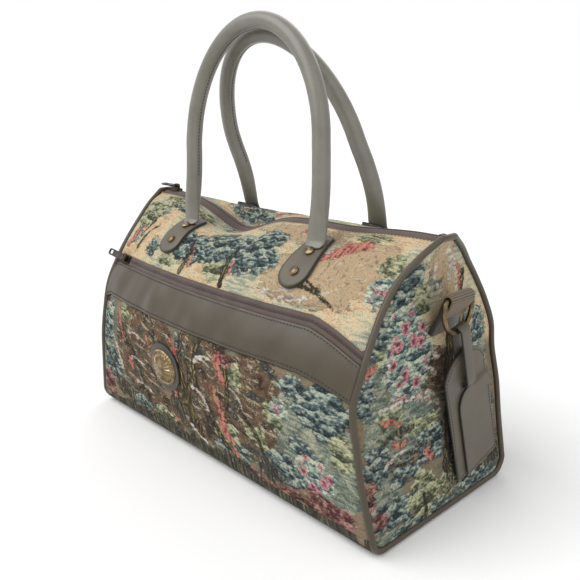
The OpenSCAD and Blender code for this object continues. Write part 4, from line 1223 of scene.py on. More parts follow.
def strap_profile(half_w, half_t, round_r):
    """Rounded rectangle, whose corners are quarter circles moved out to their places; marks its cut edges."""
    corner = np.repeat(np.arange(4), CORNER_STEPS)
    turn = corner * np.pi / 2 + np.tile(np.linspace(0, np.pi / 2, CORNER_STEPS), 4)
    middle = corner * np.pi / 2 + np.pi / 4
    half_w, half_t = (np.asarray(size, float)[..., None] for size in (half_w, half_t))
    a = np.sign(np.cos(middle)) * (half_w - round_r) + round_r * np.cos(turn)
    b = np.sign(np.sin(middle)) * (half_t - round_r) + round_r * np.sin(turn)
    return a, b, (np.abs(np.cos(turn)) > EDGE_SLOPE).astype(float)


def strap(name, path, axis, half_w, half_t, round_r, closed=False):
    """Flat strap of leather along a path, its width along the axis."""
    a, b, cut = strap_profile(half_w, half_t, round_r)
    a, b, cut = (np.broadcast_to(values, (len(path), len(cut))) for values in (a, b, cut))
    return tube(name, carry(path, np.asarray(axis, float), a, b, closed), closed, {"edge": cut})


print("strap profile points:", len(strap_profile(5.0, 1.0, 0.5)[2]))

# %% Plates
RIM_SLOPE = 0.3
POLE_SHARE = 0.97
BEND_STEPS = 9


def plate(name, outline, place, thickness, round_r, hole=None, rings_in=6):
    """Plate over an outline: rings run from the middle of its back, round its rim, to the middle of its face.

    A hole, given as a second loop of as many points, takes the place of the middle.
    """
    along = np.roll(outline, -1, 0) - np.roll(outline, 1, 0)
    outward = unit(np.stack([along[:, 1], -along[:, 0]], -1))
    middle = outline.mean(0) if hole is None else hole
    inwards = np.linspace(0, POLE_SHARE if hole is None else 1, rings_in)[1:]
    turn = np.linspace(-np.pi / 2, np.pi / 2, 2 * CORNER_STEPS)
    rim_lift = np.where(turn > 0, thickness - round_r, round_r) + round_r * np.sin(turn)
    flat_face = np.ones(rings_in - 1)
    share = np.concatenate([inwards[::-1], np.zeros(len(turn)), inwards])
    inset = round_r * np.concatenate([flat_face, 1 - np.cos(turn), flat_face])
    lift = np.concatenate([flat_face * 0, rim_lift, flat_face * thickness])
    cut = np.concatenate([flat_face * 0, np.cos(turn) > RIM_SLOPE, flat_face * 0])
    rim = outline[None] - outward[None] * inset[:, None, None]
    flat = mix(rim, middle[None], share[:, None, None])
    lift, cut = (np.broadcast_to(values[:, None], flat.shape[:2]) for values in (lift, cut))
    return tube(name, place(flat[..., 0], flat[..., 1], lift), closed=hole is not None, fields={"edge": cut})


def loop_of(corners, radius, count):
    """Closed outline through corners that are rounded off, as evenly spaced points, anticlockwise."""
    corners = np.asarray(corners, float)
    start = corners + unit(np.roll(corners, 1, 0) - corners) * radius
    stop = corners + unit(np.roll(corners, -1, 0) - corners) * radius
    t = np.linspace(0, 1, BEND_STEPS)[None, :, None]
    bends = start[:, None] * (1 - t) ** 2 + 2 * corners[:, None] * t * (1 - t) + stop[:, None] * t**2
    closed = np.vstack([bends.reshape(-1, 2), bends[0, :1]])
    run = run_of(closed)
    return at_run(np.arange(count) * run[-1] / count, run, closed)


square = loop_of([[0, 0], [10, 0], [10, 10], [0, 10]], 1.0, 40)
print("a rounded square's middle:", np.round(square.mean(0), 2))

# %% Stitches
# Spindle of a thread: place along it as a share of its length, and size as a share of its width
SPINDLE = np.array([[-0.5, 0.3], [-0.28, 1.0], [0.28, 1.0], [0.5, 0.3]])
SPINDLE_POINTS = 4 * len(SPINDLE)


def spindles(name, centre, along, up, length, width, height):
    """Many small spindles in one mesh: a square section that swells and closes, carried to each centre."""
    across = np.cross(up, along)
    turn = np.pi / 4 + np.arange(4) * np.pi / 2
    t = np.repeat(SPINDLE[:, 0] * length, 4)
    a = (SPINDLE[:, 1:] * np.cos(turn)).ravel() * width / 2 * math.sqrt(2)
    b = (SPINDLE[:, 1:] * np.sin(turn)).ravel() * height / 2 * math.sqrt(2)
    offsets = (t[:, None] * along[:, None], a[:, None] * across[:, None], b[:, None] * up[:, None])
    points = centre[:, None] + sum(offsets)
    one = np.vstack([grid_quads(4, 4, wrap_cols=True), [[0, 1, 2, 3], [15, 14, 13, 12]]])
    quads = (one[None] + SPINDLE_POINTS * np.arange(len(centre))[:, None, None]).reshape(-1, 4)
    return put_mesh(name, points, quads)


def spaced(path, out, pitch):
    """Even steps along a path: middles, directions along it and directions out of the surface."""
    run = run_of(path)
    count = max(int(run[-1] / pitch), 1)
    at = (np.arange(count) + 0.5) * run[-1] / count
    centre, ahead, up = (at_run(at, run, values) for values in (path, np.gradient(path, axis=0), out))
    along = unit(ahead)
    return centre, along, unit(up - along * np.sum(up * along, -1, keepdims=True))


def stitch_row(name, path, out, body, material, slot="leather", pitch=3.3, length=2.5, width=0.75):
    """Row of threads along a path, half sunk in the surface."""
    made = spindles(name, *spaced(path, out, pitch), length, width, width)
    return dress(made, material, body, slot)


print("spindle points:", SPINDLE_POINTS)

# %% Turned pieces


def turned(name, profile, frames, sides):
    """Pieces turned from a profile of radius and height, one on each frame: a foot, two sides and an axis."""
    turn = full_turn(sides)
    radius, height = profile[:, :1], profile[:, 1:]
    ring = np.stack(np.broadcast_arrays(radius * np.cos(turn), radius * np.sin(turn), height), -1)
    points = np.stack([foot + ring @ np.stack(axes) for foot, *axes in frames])
    size = len(profile) * sides
    starts = size * np.arange(len(frames))
    quads = grid_quads(len(profile), sides, wrap_cols=True)[None] + starts[:, None, None]
    back = [start + np.arange(sides) for start in starts]
    front = [start + size - sides + np.arange(sides)[::-1] for start in starts]
    return put_mesh(name, points, quads.reshape(-1, 4), back + front)


print("quads of a turned piece with 5 rings of 8 points:", len(grid_quads(5, 8, wrap_cols=True)))

# %% [markdown]
# ## Pocket band
#
# A wide leather band covers the top of the pocket. It is cut from one strip, so it stands a little proud
# of the cloth, rolls over at its edges and is sewn close to both of them. It follows the lines of the
# front, which run down to the right. Slow sine waves swell it slightly, most towards the left, and catch
# the light as soft leather does.

# %% Pocket band
BAND_ROLL, BAND_SINK = 1.6, 0.6
EDGE_ROWS = np.array([0, 0.3, 0.8, 1.6])
FLAT_ROWS_FROM, FLAT_ROWS = 3.2, 16
BAND_ROWS = np.concatenate([
    EDGE_ROWS, np.linspace(FLAT_ROWS_FROM, BAND_W - FLAT_ROWS_FROM, FLAT_ROWS), BAND_W - EDGE_ROWS[::-1]
])[:, None]
# Soft waves of the band: length along the bag, phase and height
BAND_WAVES = ((84.0, 0.6, 0.5), (47.0, 2.4, 0.28))
WAVE_CALM, WAVE_FULL, WAVE_X, WAVE_EASE = 0.7, 1.5, -30.0, 90.0


def band_lift(x, down):
    """Lift of the band's face: proud of the cloth, rolled over at its edges and softly waved between them."""
    edge = np.minimum(down, BAND_W - down)
    roll = np.sqrt(np.clip(1 - (1 - np.clip(edge / BAND_ROLL, 0, 1)) ** 2, 0, 1))
    wave = sum(h * np.sin(2 * np.pi * x / l + p + down / BAND_W) for l, p, h in BAND_WAVES)
    swell = mix(WAVE_CALM, WAVE_FULL, ease((WAVE_X - x) / WAVE_EASE))
    return mix(-BAND_SINK, BAND_PROUD, roll) + swell * wave * np.sin(np.pi * np.clip(down / BAND_W, 0, 1))


band_x, band_s = between(band_top_line, band_foot_line, PANEL_K, BAND_ROWS / BAND_W)
band_face = skin(band_x, band_s, FRONT, band_lift(band_x, BAND_ROWS))
band = shell("band_leather", band_face, skin(band_x, band_s, FRONT, -PANEL_T))
dress(band, band_hide, "bag", "leather", "pocket_band")

# %% Band stitches
STITCH_INSET, STITCH_LIFT, BAND_THREAD = 3.0, 0.1, 0.9


def band_stitches(name, down):
    """Row of stitches along the band, at a distance down from its top."""
    k = np.linspace(-0.99, 0.99, 240)
    x, s = between(band_top_line, band_foot_line, k, down / BAND_W)
    path = skin(x, s, FRONT, band_lift(x, down) + STITCH_LIFT)
    stitch_row(name, path, skin_normal(x, s, FRONT), "bag", thread_cloth, width=BAND_THREAD)


band_stitches("band_upper_stitches", STITCH_INSET)
band_stitches("band_lower_stitches", BAND_W - STITCH_INSET)

# %% [markdown]
# ## Zips
#
# A zip is two woven tapes with a fine dark chain between them. The pocket's runs above the band. The main
# one closes the ridge: its tapes are sewn under the hems of front and rear, so it goes where the cloth goes.
# It sags between the ends and dips left of the middle, where the empty bag gives way. The teeth could be
# copies of one small mesh. Here they are spindles laid across the chain, all in one mesh, which is lighter.

# %% Pocket zip
TAPE_T, TAPE_CROWN = 1.0, 0.35
TAPE_SHARES = np.linspace(0, 1, 9)[:, None]
TOOTH_PITCH, TOOTH_L, TOOTH_W, TOOTH_H, TOOTH_STEP = 1.5, 2.6, 1.1, 1.5, 0.2
ZIP_LIFT, POCKET_CHAIN_LIFT = -PANEL_T / 2, 0.4
CHAIN_STEPS = 400
tape_crown = TAPE_CROWN * np.sin(np.pi * TAPE_SHARES)


def pocket_tape(name, top, bottom, node):
    """Woven tape between two lines of the front, crowned across its width."""
    x, s = between(top, bottom, PANEL_K, TAPE_SHARES)
    outer = skin(x, s, FRONT, ZIP_LIFT + TAPE_T / 2 + tape_crown)
    made = shell(name, outer, skin(x, s, FRONT, ZIP_LIFT - TAPE_T / 2))
    return dress(made, zip_tape, "bag", "zip_tape", node)


def zip_teeth_row(name, path, out, node):
    """Interlocked teeth: spindles across the chain, each next one a little to the other side."""
    centre, along, up = spaced(path, out, TOOTH_PITCH)
    across = np.cross(up, along)
    side_step = np.where(np.arange(len(centre)) % 2 == 0, TOOTH_STEP, -TOOTH_STEP)[:, None]
    made = spindles(name, centre + across * side_step, across, up, TOOTH_L, TOOTH_W, TOOTH_H)
    return dress(made, zip_teeth, "bag", "bronze", node)


pocket_tape("upper_zip_tape", zip_top_line, zip_middle_line, "pocket_zip_upper_tape")
pocket_tape("lower_zip_tape", zip_middle_line, zip_foot_line, "pocket_zip_lower_tape")
zip_x, zip_s = between(zip_middle_line, zip_middle_line, np.linspace(-1, 1, CHAIN_STEPS), 0.0)
chain_path = skin(zip_x, zip_s, FRONT, ZIP_LIFT + POCKET_CHAIN_LIFT)
zip_teeth_row("pocket_teeth", chain_path, skin_normal(zip_x, zip_s, FRONT), "pocket_zip_chain")

# %% Main zip
MAIN_HALF = END_HALF - RIDGE_DRAW - SEAM_GAP
RIDGE_CHAIN_LIFT = 0.35
SLOPE_POWER = 1.4


def ridge_path(x, y, z):
    """Points of the ridge at x, sideways by y and up by z from the middle of the zip."""
    x, y, z = np.broadcast_arrays(x, y, z)
    return np.stack([x, y, RIDGE_Z + ZIP_LIFT + z - ridge_dip(x)], -1)


def ridge_tape(name, face, node):
    """Half of the main zip's tape, from the chain to the hem."""
    x = MAIN_HALF * PANEL_K
    y = face * CREST_HALF * TAPE_SHARES
    slope = -HEM_DROP * TAPE_SHARES**SLOPE_POWER
    outer = ridge_path(x, y, slope + TAPE_T / 2 + tape_crown)
    made = shell(name, outer, ridge_path(x, y, slope - TAPE_T / 2))
    return dress(made, zip_tape, "bag", "zip_tape", node)


ridge_tape("ridge_front_tape", FRONT, "main_zip_front_tape")
ridge_tape("ridge_rear_tape", REAR, "main_zip_rear_tape")
ridge_x = np.linspace(-MAIN_HALF, MAIN_HALF, CHAIN_STEPS)
ridge_up = np.tile([0.0, 0.0, 1.0], (CHAIN_STEPS, 1))
zip_teeth_row("ridge_teeth", ridge_path(ridge_x, 0.0, RIDGE_CHAIN_LIFT), ridge_up, "main_zip_chain")

# %% Hem stitches
HEM_STITCH_SHARE, HEM_END_SHARE, HEM_THREAD_LIFT = 0.014, 0.985, 0.05
hem_x = ridge_x * HEM_END_SHARE
hem_s = np.full_like(hem_x, HEM_STITCH_SHARE)
for word, face in (("front", FRONT), ("rear", REAR)):
    hem_path = skin(hem_x, hem_s, face, HEM_THREAD_LIFT)
    hem_out = skin_normal(hem_x, hem_s, face)
    stitch_row(f"{word}_hem_stitches", hem_path, hem_out, "bag", hem_thread, "tapestry")

# %% [markdown]
# ## Handle tabs and rivets
#
# Each handle leg ends on a leather tab: narrow under the handle, round below, held by two domed rivets.
# The tab is a plate whose outline is bent onto the roof, so it lies on the cloth wherever that goes. The
# rivets are turned from one profile: washer, shank and dome, each stood up square to the cloth.

# %% Tabs
HANDLE_HALF, TAB_W, TAB_T, TAB_ROUND = 84.0, 27.0, 2.6, 0.9
RIVET_SETBACK, RIVET_PITCH = 42.0, 21.0
TAB_NECK_SHARE = 0.7
SEWN_GAP = 0.3
GRIP_R, GRIP_T = 7.5, 1.6
KNUCKLE_R = GRIP_R - GRIP_T
HINGE_SETBACK = 15.0
HINGE_RUN = RIVET_SETBACK - HINGE_SETBACK
TAB_NECK_RUN = HINGE_RUN - KNUCKLE_R
TAB_LOWER_RUN = RIVET_SETBACK + RIVET_PITCH

# The roof's section below a handle's leg, which lies between the bag's middle and its end
leg_share = 1 - (HANDLE_HALF / panel_half(table_shares)) ** 2
roof_depth = table_section[:, 0] + BELLY * np.sin(np.pi * table_shares) * leg_share
roof_line = np.stack([roof_depth, table_section[:, 1]], -1)
roof_run = run_of(roof_line)


def roof_share(run):
    """Share of the section at a distance down the roof below a handle's leg."""
    return np.interp(run, roof_run, table_shares)


def tab_outline():
    """Tab seen flat: across, and down the roof; a taper from its neck to a half round."""
    down = np.linspace(TAB_NECK_RUN, TAB_LOWER_RUN, 30)
    widening = ease((down - TAB_NECK_RUN) / (TAB_LOWER_RUN - TAB_NECK_RUN))
    half = TAB_W / 2 * mix(TAB_NECK_SHARE, 1.0, widening)
    turn = np.linspace(0, np.pi, 40)[1:-1]
    left = np.stack([-half, down], -1)
    foot = np.stack([-TAB_W / 2 * np.cos(turn), TAB_LOWER_RUN + TAB_W / 2 * np.sin(turn)], -1)
    right = np.stack([half, down], -1)[::-1]
    return np.vstack([left, foot, right])


def handle_tab(word, face, hand_word, hand):
    """Tab of one handle leg, bent onto the roof."""

    def place(across, down, lift):
        """Place on the roof of a point of the flat tab."""
        return skin(hand * HANDLE_HALF + across, roof_share(down), face, lift + SEWN_GAP)

    tab = plate(f"{word}_{hand_word}_leather_tab", tab_outline(), place, TAB_T, TAB_ROUND, rings_in=8)
    dress(tab, leather, "bag", "leather", f"{word}_{hand_word}_tab")


print("tab from", round(TAB_NECK_RUN, 1), "to", round(TAB_LOWER_RUN + TAB_W / 2, 1), "mm down the roof")

# %% Rivets
RIVET_R, RIVET_H, SHANK_R, WASHER_R, WASHER_T = 4.8, 2.2, 1.8, 4.2, 0.8
RIVET_SIDES, LIP, CAP_RIM, DOME_FOOT = 28, 0.4, 0.3, 0.5
BACK_PIN_R, TIP_R = 0.3, 0.2
cap_z = 2 * SEWN_GAP + TAB_T
rivet_back = -PANEL_T - 2 * SEWN_GAP
washer_back = rivet_back - WASHER_T
dome_turn = np.linspace(0.02, np.pi / 2, 10)[:-1]
dome_z = cap_z + DOME_FOOT + (RIVET_H - DOME_FOOT) * np.sin(dome_turn)
RIVET_PROFILE = np.vstack([
    [[BACK_PIN_R, washer_back], [WASHER_R, washer_back], [WASHER_R, rivet_back], [SHANK_R, rivet_back]],
    [[SHANK_R, cap_z], [RIVET_R - LIP, cap_z - LIP / 2], [RIVET_R, cap_z + CAP_RIM]],
    np.stack([RIVET_R * np.cos(dome_turn), dome_z], -1),
    [[TIP_R, cap_z + RIVET_H]],
])


def rivet_frame(x, run, face):
    """Foot of a rivet on the roof, two directions along the roof and the direction out of it."""
    s = roof_share(run)
    up = skin_normal(np.array(x), s, face)
    side = unit(np.cross(up, np.array([0.0, 1.0, 0.0])))
    return skin(x, s, face), side, np.cross(up, side), up


def handle_rivets(word, face):
    """Four rivets of one handle."""
    places = [(hand * HANDLE_HALF, run) for hand in (-1, 1) for run in (RIVET_SETBACK, TAB_LOWER_RUN)]
    frames = [rivet_frame(x, run, face) for x, run in places]
    made = turned(f"{word}_domed_rivets", RIVET_PROFILE, frames, RIVET_SIDES)
    dress(made, reflection_painted_brass, "bag", "bronze", f"{word}_rivets")


for word, face in (("front", FRONT), ("rear", REAR)):
    for hand_word, hand in (("left", -1), ("right", 1)):
        handle_tab(word, face, hand_word, hand)
    handle_rivets(word, face)

# %% [markdown]
# ## Rolled handles
#
# A handle is leather rolled round a rope and sewn along its inside. Near its ends the rope stops, and the
# leather flattens into a tongue that bends down onto the tab. The shape is an oval carried along a path,
# wide and thin at the tongue and round above it. In use the leather bends at its foot: the tongue stays on
# the bag and the rest swings.

# %% Handle path
HANDLE_RISE, BOW_H = 167.0, 103.0
HANDLE_DROOP = {FRONT: 0.0, REAR: 10.0}
HANDLE_SHEAR = {FRONT: -18.0, REAR: -34.0}
SHEAR_EASE = 70.0
HINGE_LIFT = 2 * SEWN_GAP + TAB_T + KNUCKLE_R
RIDGE_CLEAR = 0.15
# Tongue on the roof: distance down the roof and lift off it; then heights up the leg's foot
TONGUE = ((38.5, 3.5), (34.0, 4.2), (29.5, 6.2))
FOOT_HEIGHTS, LEG_FROM, BOW_APART = (7.0, 16.0), 26.0, 12.0
PATH_STEPS = 220
roof_slope = np.gradient(roof_line, axis=0)
roof_out = unit(np.stack([-roof_slope[:, 1], roof_slope[:, 0]], -1))
hinge = at_run(HINGE_RUN, roof_run, roof_line + roof_out * HINGE_LIFT)
handle_lean = math.asin((hinge[0] - GRIP_R - RIDGE_CLEAR) / HANDLE_RISE)


def handle_path(face):
    """Middle line of a handle: tongue on the roof, bend, leg, bow, leg, bend and tongue, leaning inwards.

    Gives the path's points, their distances along it, the hinge's middle and the direction up the handle.
    """
    up = np.array([0.0, -face * math.sin(handle_lean), math.cos(handle_lean)])
    foot = np.array([0.0, face * hinge[0], hinge[1]])
    half_span = np.array([HANDLE_HALF, 0, 0])
    leg_l = HANDLE_RISE - HANDLE_DROOP[face] - BOW_H
    leg_heights = (*FOOT_HEIGHTS, *np.linspace(LEG_FROM, leg_l - BOW_APART, 3))

    def leg(hand):
        """Points up one leg, from its tongue."""
        tongue = [skin(hand * HANDLE_HALF, roof_share(run), face, lift) for run, lift in TONGUE]
        return np.array(tongue + [foot + up * height + hand * half_span for height in leg_heights])

    turn = np.linspace(np.pi, 0, 15)[:, None]
    bow = foot + up * (leg_l + BOW_H * np.sin(turn)) + half_span * np.cos(turn)
    path = curve_at(np.vstack([leg(-1), bow, leg(1)[::-1]]), np.linspace(0, 1, 1200))
    height = np.clip((path - foot) @ up, 0, None)
    path[:, 0] += HANDLE_SHEAR[face] * height / HANDLE_RISE * ease(height / SHEAR_EASE)
    run = run_of(path)
    at = np.linspace(0, run[-1], PATH_STEPS)
    return at_run(at, run, path), at, foot, up


print("handle hinge at", np.round(hinge, 2), "lean", round(math.degrees(handle_lean), 2))

# %% Handles
# Oval of the tube: distance from the tongue's end, half width and half thickness
GRIP_OVAL = np.array([
    [0, 4.0, 0.5], [1, 6.6, 0.8], [2.5, 8.4, 1.1], [5, 9.6, 1.6], [9, 10.2, 2.4], [15, 10.0, 3.6],
    [22, 9.2, 5.2], [30, 8.3, 6.6], [40, 7.7, 7.3], [52, 7.5, 7.5], [2000, 7.5, 7.5],
])
GRIP_SIDES = 40
SEAM_DEPTH, SEAM_WIDTH, SEAM_FROM, SEAM_EASE, SEWN_FROM = 0.5, 0.16, 30.0, 20.0, 48.0
THREAD_DEPTH = 0.3


def rolled_handle(word, face):
    """One handle with its sewn seam, which runs along the inside of the bow."""
    path, at, foot, up = handle_path(face)
    from_end = np.minimum(at, at[-1] - at)
    half_w, half_t = at_run(from_end, GRIP_OVAL[:, 0], GRIP_OVAL[:, 1:]).T[..., None]
    turn = full_turn(GRIP_SIDES)
    thick_axis = np.cross([1.0, 0.0, 0.0], up)
    one = np.ones((len(path), 1))
    wide_axis = carry(path, thick_axis, 0 * one, one)[:, 0] - path
    top = len(path) // 2
    seam_side = 1 if wide_axis[top] @ (foot - path[top]) > 0 else -1
    apart = np.angle(np.exp(1j * (turn - seam_side * np.pi / 2)))
    groove = SEAM_DEPTH * np.exp(-((apart / SEAM_WIDTH) ** 2))
    seam = groove[None, :] * ease((from_end - SEAM_FROM) / SEAM_EASE)[:, None]
    rings = carry(path, thick_axis, (half_t - seam) * np.cos(turn), (half_w - seam) * np.sin(turn))
    cut = np.repeat((from_end < 0.5).astype(float)[:, None], GRIP_SIDES, 1)
    made = tube(f"{word}_rolled_handle", rings, fields={"edge": cut})
    made.data.materials.append(sheen_painted_handle_leather)
    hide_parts(f"{word}_grip", f"{word}_grip_core")
    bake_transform(made)
    sewn = from_end > SEWN_FROM
    out = seam_side * wide_axis[sewn]
    row = path[sewn] + out * (GRIP_R - THREAD_DEPTH)
    name = f"{word}_handle_stitches"
    stitch_row(name, row, out, f"{word}_handle", thread_cloth, pitch=3.0, length=2.2, width=0.7)


rolled_handle("front", FRONT)
rolled_handle("rear", REAR)

# %% [markdown]
# ## Medallion
#
# A round badge sits on the pocket: a dark leather disc with a turned brass boss. The boss gets a plain
# ornament of its kind, a ring of beads round a fluted dome. A height over radius and angle draws both.

# %% Medallion disc
DISC_R, DISC_T, DISC_ROUND = 23.0, 2.2, 0.8
DISC_LEFT, DISC_Z = 45.0, 86.0
disc_run = np.interp(share_at(DISC_Z), table_shares, table_run)


def on_pocket(across, up, lift):
    """Point over the pocket near the medallion: across and up from its middle, lifted off the cloth."""
    s = np.interp(disc_run - up, table_run, table_shares)
    return skin(-DISC_LEFT + across, s, FRONT, lift + SEWN_GAP)


disc_turn = full_turn(96)
disc_outline = DISC_R * np.stack([np.cos(disc_turn), np.sin(disc_turn)], -1)
disc = plate("leather_disc", disc_outline, on_pocket, DISC_T, DISC_ROUND, rings_in=8)
dress(disc, disc_leather, "bag", "leather", "medallion_disc")

# %% Medallion boss
BOSS_R, BOSS_H, BOSS_FOOT, BOSS_RINGS = 17.6, 4.0, 0.5, 44
FLUTES, FLUTE_H, BEADS, BEAD_H, KNOB_H = 20, 0.6, 36, 2.0, 0.5
# Shares of the boss's radius: edge of the dome, middle and width of the beads, width of the knob
DOME_EDGE, BEAD_MIDDLE, BEAD_WIDTH, KNOB_WIDTH = 0.8, 0.9, 0.06, 0.12


def boss_height(share, turn):
    """Height of the boss: a low dome with flutes that fade to its middle, a groove, and beads on the rim."""
    dome = BOSS_H * np.sqrt(np.clip(1 - (share / DOME_EDGE) ** 2, 0, 1))
    flutes = FLUTE_H * np.cos(FLUTES * turn) * ease((share - 0.25) / 0.3) * ease((DOME_EDGE - share) / 0.15)
    bead = BEAD_H * (0.72 + 0.28 * np.cos(BEADS * turn))
    rim = bead * np.exp(-(((share - BEAD_MIDDLE) / BEAD_WIDTH) ** 2))
    return BOSS_FOOT + dome + flutes + rim + KNOB_H * np.exp(-((share / KNOB_WIDTH) ** 2))


boss_turn = full_turn(180)
boss_share = np.concatenate([[0.995, 1.0], np.linspace(0.99, 0.01, BOSS_RINGS)])[:, None]
boss_rise = np.concatenate([[0.0, 0.5], np.ones(BOSS_RINGS)])[:, None]
boss_lift = DISC_T + boss_height(boss_share, boss_turn) * boss_rise
boss_across, boss_up = (BOSS_R * boss_share * wave(boss_turn) for wave in (np.cos, np.sin))
boss = tube("fluted_boss", on_pocket(boss_across, boss_up, boss_lift))
dress(boss, reflection_painted_brass, "bag", "bronze", "medallion_boss")

# %% [markdown]
# ## D-rings and their tabs
#
# At each end a D-ring of brass wire hangs in a doubled leather tab, whose fold is covered by ribbed webbing.
# The wire is a circle carried round a D, the tab a strap that slopes back to the end panel, and the webbing
# a second strap bent over the ring's bar, with its ribs as a ripple along its path and painted shade between
# them.

# %% Rings
RING_W, RING_H, WIRE_R, RING_Z = 35.0, 27.0, 2.0, 181.0
RING_R = RING_W / 2
RING_LEG = RING_H - RING_R
RING_CORNER, BAR_HALF, WIRE_SIDES = 4.5, 6.0, 20
ring_low, ring_high = node_box("right_d_ring")
RING_X = (ring_low[0] + ring_high[0]) / 2


def ring_path():
    """The D as a closed line across and up: bar, rounded corner, leg, bow, leg, rounded corner."""
    quarter = np.linspace(0, np.pi / 2, 9)
    bow = np.linspace(0, np.pi, 49)
    corner = [RING_R, 0] - RING_CORNER * np.stack([1 - np.sin(quarter), 1 - np.cos(quarter)], -1)
    leg = np.stack([np.full(5, RING_R), np.linspace(-RING_CORNER, -RING_LEG, 7)[1:-1]], -1)
    arc = [0, -RING_LEG] + RING_R * np.stack([np.cos(bow), -np.sin(bow)], -1)
    half = np.vstack([[[0, 0], [BAR_HALF, 0]], corner, leg])
    return np.vstack([half, arc, half[:0:-1] * [-1, 1]])


def wire_ring(word, hand):
    """One D of round wire, which hangs upright across its end of the bag."""
    across, up = ring_path().T
    path = np.stack([np.full_like(up, hand * RING_X), across, RING_Z + up], -1)
    made = round_cord(f"{word}_wire_ring", path, (1, 0, 0), WIRE_R, WIRE_SIDES)
    dress(made, bronze, f"{word}_ring", "bronze", f"{word}_d_ring")


print("points round a D-ring:", len(ring_path()))

# %% Ring tabs
RING_TAB_W, RING_STRAP_T, RING_FOOT_Z, TAIL_ROUND = 29.0, 2.2, 153.0, 1.2
TAIL_FROM, TAIL_OVER = 5.5, 1.0
end_draw = curve_at(side_points, share_at(RING_FOOT_Z))[..., 2]
end_face = END_HALF - end_draw + END_SWELL * np.sin(np.pi * RING_FOOT_Z / RIDGE_Z)
ring_bar = np.array([RING_X, RING_Z])
tab_foot = np.array([end_face + SEWN_GAP + RING_STRAP_T, RING_FOOT_Z])
tab_down = unit(tab_foot - ring_bar)
tab_side = np.array([-tab_down[1], tab_down[0]])


def at_end(flat, hand):
    """Points out and up from the bag's middle, put at its one end or the other."""
    return np.stack([hand * flat[:, 0], np.zeros(len(flat)), flat[:, 1]], -1)


def ring_tail(word, hand):
    """Doubled leather tail, from below the bar to the end panel."""
    down = np.linspace(TAIL_FROM, np.linalg.norm(tab_foot - ring_bar) + TAIL_OVER, 24)[:, None]
    path = at_end(ring_bar + tab_down * down, hand)
    made = strap(f"{word}_ring_leather", path, (0, 1, 0), RING_TAB_W / 2, RING_STRAP_T, TAIL_ROUND)
    dress(made, leather, "bag", "leather", f"{word}_ring_tab")


print("ring tab leans back by", round(math.degrees(math.atan2(tab_down[0], -tab_down[1])), 1), "degrees")

# %% Ring webbing
RIB_PITCH, RIB_H, WEBBING_HALF, WEBBING_ROUND = 1.6, 0.3, 0.8, 0.45
EYE_ROOM, SQUEEZE_L = 0.8, 12.0
WEBBING_LEG, WEBBING_NECK, EYE_OVER = 14.0, 0.6, 0.08
RIB_STEPS = 260
eye_r = WIRE_R + EYE_ROOM + RING_STRAP_T / 2
eye_turn = np.linspace(-EYE_OVER, np.pi + EYE_OVER, 90)[:, None]
eye = ring_bar + eye_r * (np.cos(eye_turn) * tab_side - np.sin(eye_turn) * tab_down)
leg_down = np.linspace(WEBBING_LEG, WEBBING_NECK, 40)[:, None]
leg_side = tab_side * mix(eye_r, RING_STRAP_T + WEBBING_HALF, ease(leg_down / SQUEEZE_L))
leg_middle = ring_bar + tab_down * leg_down
fold = np.vstack([leg_middle + leg_side, eye, (leg_middle - leg_side)[::-1]])
fold_run = run_of(fold)
rib_at = np.linspace(0, fold_run[-1], RIB_STEPS)
ripple = RIB_H * np.cos(2 * np.pi * rib_at / RIB_PITCH)


def ring_webbing(word, hand):
    """Ribbed fold over the bar, with painted shade between its ribs."""
    a, b, _ = strap_profile(np.full(RIB_STEPS, RING_TAB_W / 2), WEBBING_HALF + ripple, WEBBING_ROUND)
    rings = carry(at_end(at_run(rib_at, fold_run, fold), hand), np.array([0.0, 1.0, 0.0]), a, b)
    # painted shade: the hollows between the ribs are marked as 'edge' and painted dark by the webbing
    # material
    groove = np.repeat(np.clip(-ripple / RIB_H, 0, 1)[:, None], a.shape[1], 1)
    dress(tube(f"{word}_ring_webbing", rings, fields={"edge": groove}), webbing, "bag", "leather")


for word, hand in (("right", 1), ("left", -1)):
    wire_ring(word, hand)
    ring_tail(word, hand)
    ring_webbing(word, hand)

# %% [markdown]
# ## Luggage tag
#
# The tag is two layers of leather sewn round their rim, with a card between them and a strap through a
# slot. It hangs from the D-ring's bow and leans to the rear. Its pieces are drawn flat, in the tag's own
# plane, and one function stands them up in their place.

# %% Tag outlines
TAG_L, TAG_W, TAG_T, TAG_LEAN = 113.0, 53.0, 1.6, math.radians(16)
LOOP_W, LOOP_T, TAG_DROP, SLOT_DROP = 11.0, 1.8, 19.0, 26.0
RUN_CLEAR, TAG_COUNT = 0.4, 160
ARCH_R, TAG_CORNER = TAG_W * 0.58, 3.2
FLAP_LEFT, FLAP_BEND, FLAP_CORNER = TAG_W * (0.21 - 0.5), TAG_W * 0.3, 2.2
LOOP_EYE_R = WIRE_R + RUN_CLEAR + RING_R - math.sqrt(RING_R**2 - LOOP_W**2 / 4)
LOOP_L = TAG_DROP + SLOT_DROP
SLOT_FOOT = -LOOP_L - LOOP_EYE_R - LOOP_T - RUN_CLEAR
TAG_FOOT = -TAG_DROP - TAG_L


def tag_outline():
    """Tag seen flat: an arched head, straight sides and a square foot with rounded corners."""
    spread = math.asin(TAG_W / 2 / ARCH_R)
    turn = np.linspace(-spread, spread, 9)
    head = [0, -TAG_DROP - ARCH_R] + ARCH_R * np.stack([-np.sin(turn), np.cos(turn)], -1)
    foot = [[-TAG_W / 2, TAG_FOOT], [TAG_W / 2, TAG_FOOT]]
    return loop_of(np.vstack([head, foot]), TAG_CORNER, TAG_COUNT)


def slot_outline(around):
    """Slot seen flat, with its points in step with those of the outline around it."""
    half_sizes = np.array([LOOP_W / 2 + RUN_CLEAR, (-LOOP_L - SLOT_FOOT) / 2])
    middle = np.array([0.0, (SLOT_FOOT - LOOP_L) / 2])
    spoke = around - middle
    return middle + spoke / np.max(np.abs(spoke) / half_sizes, -1, keepdims=True)


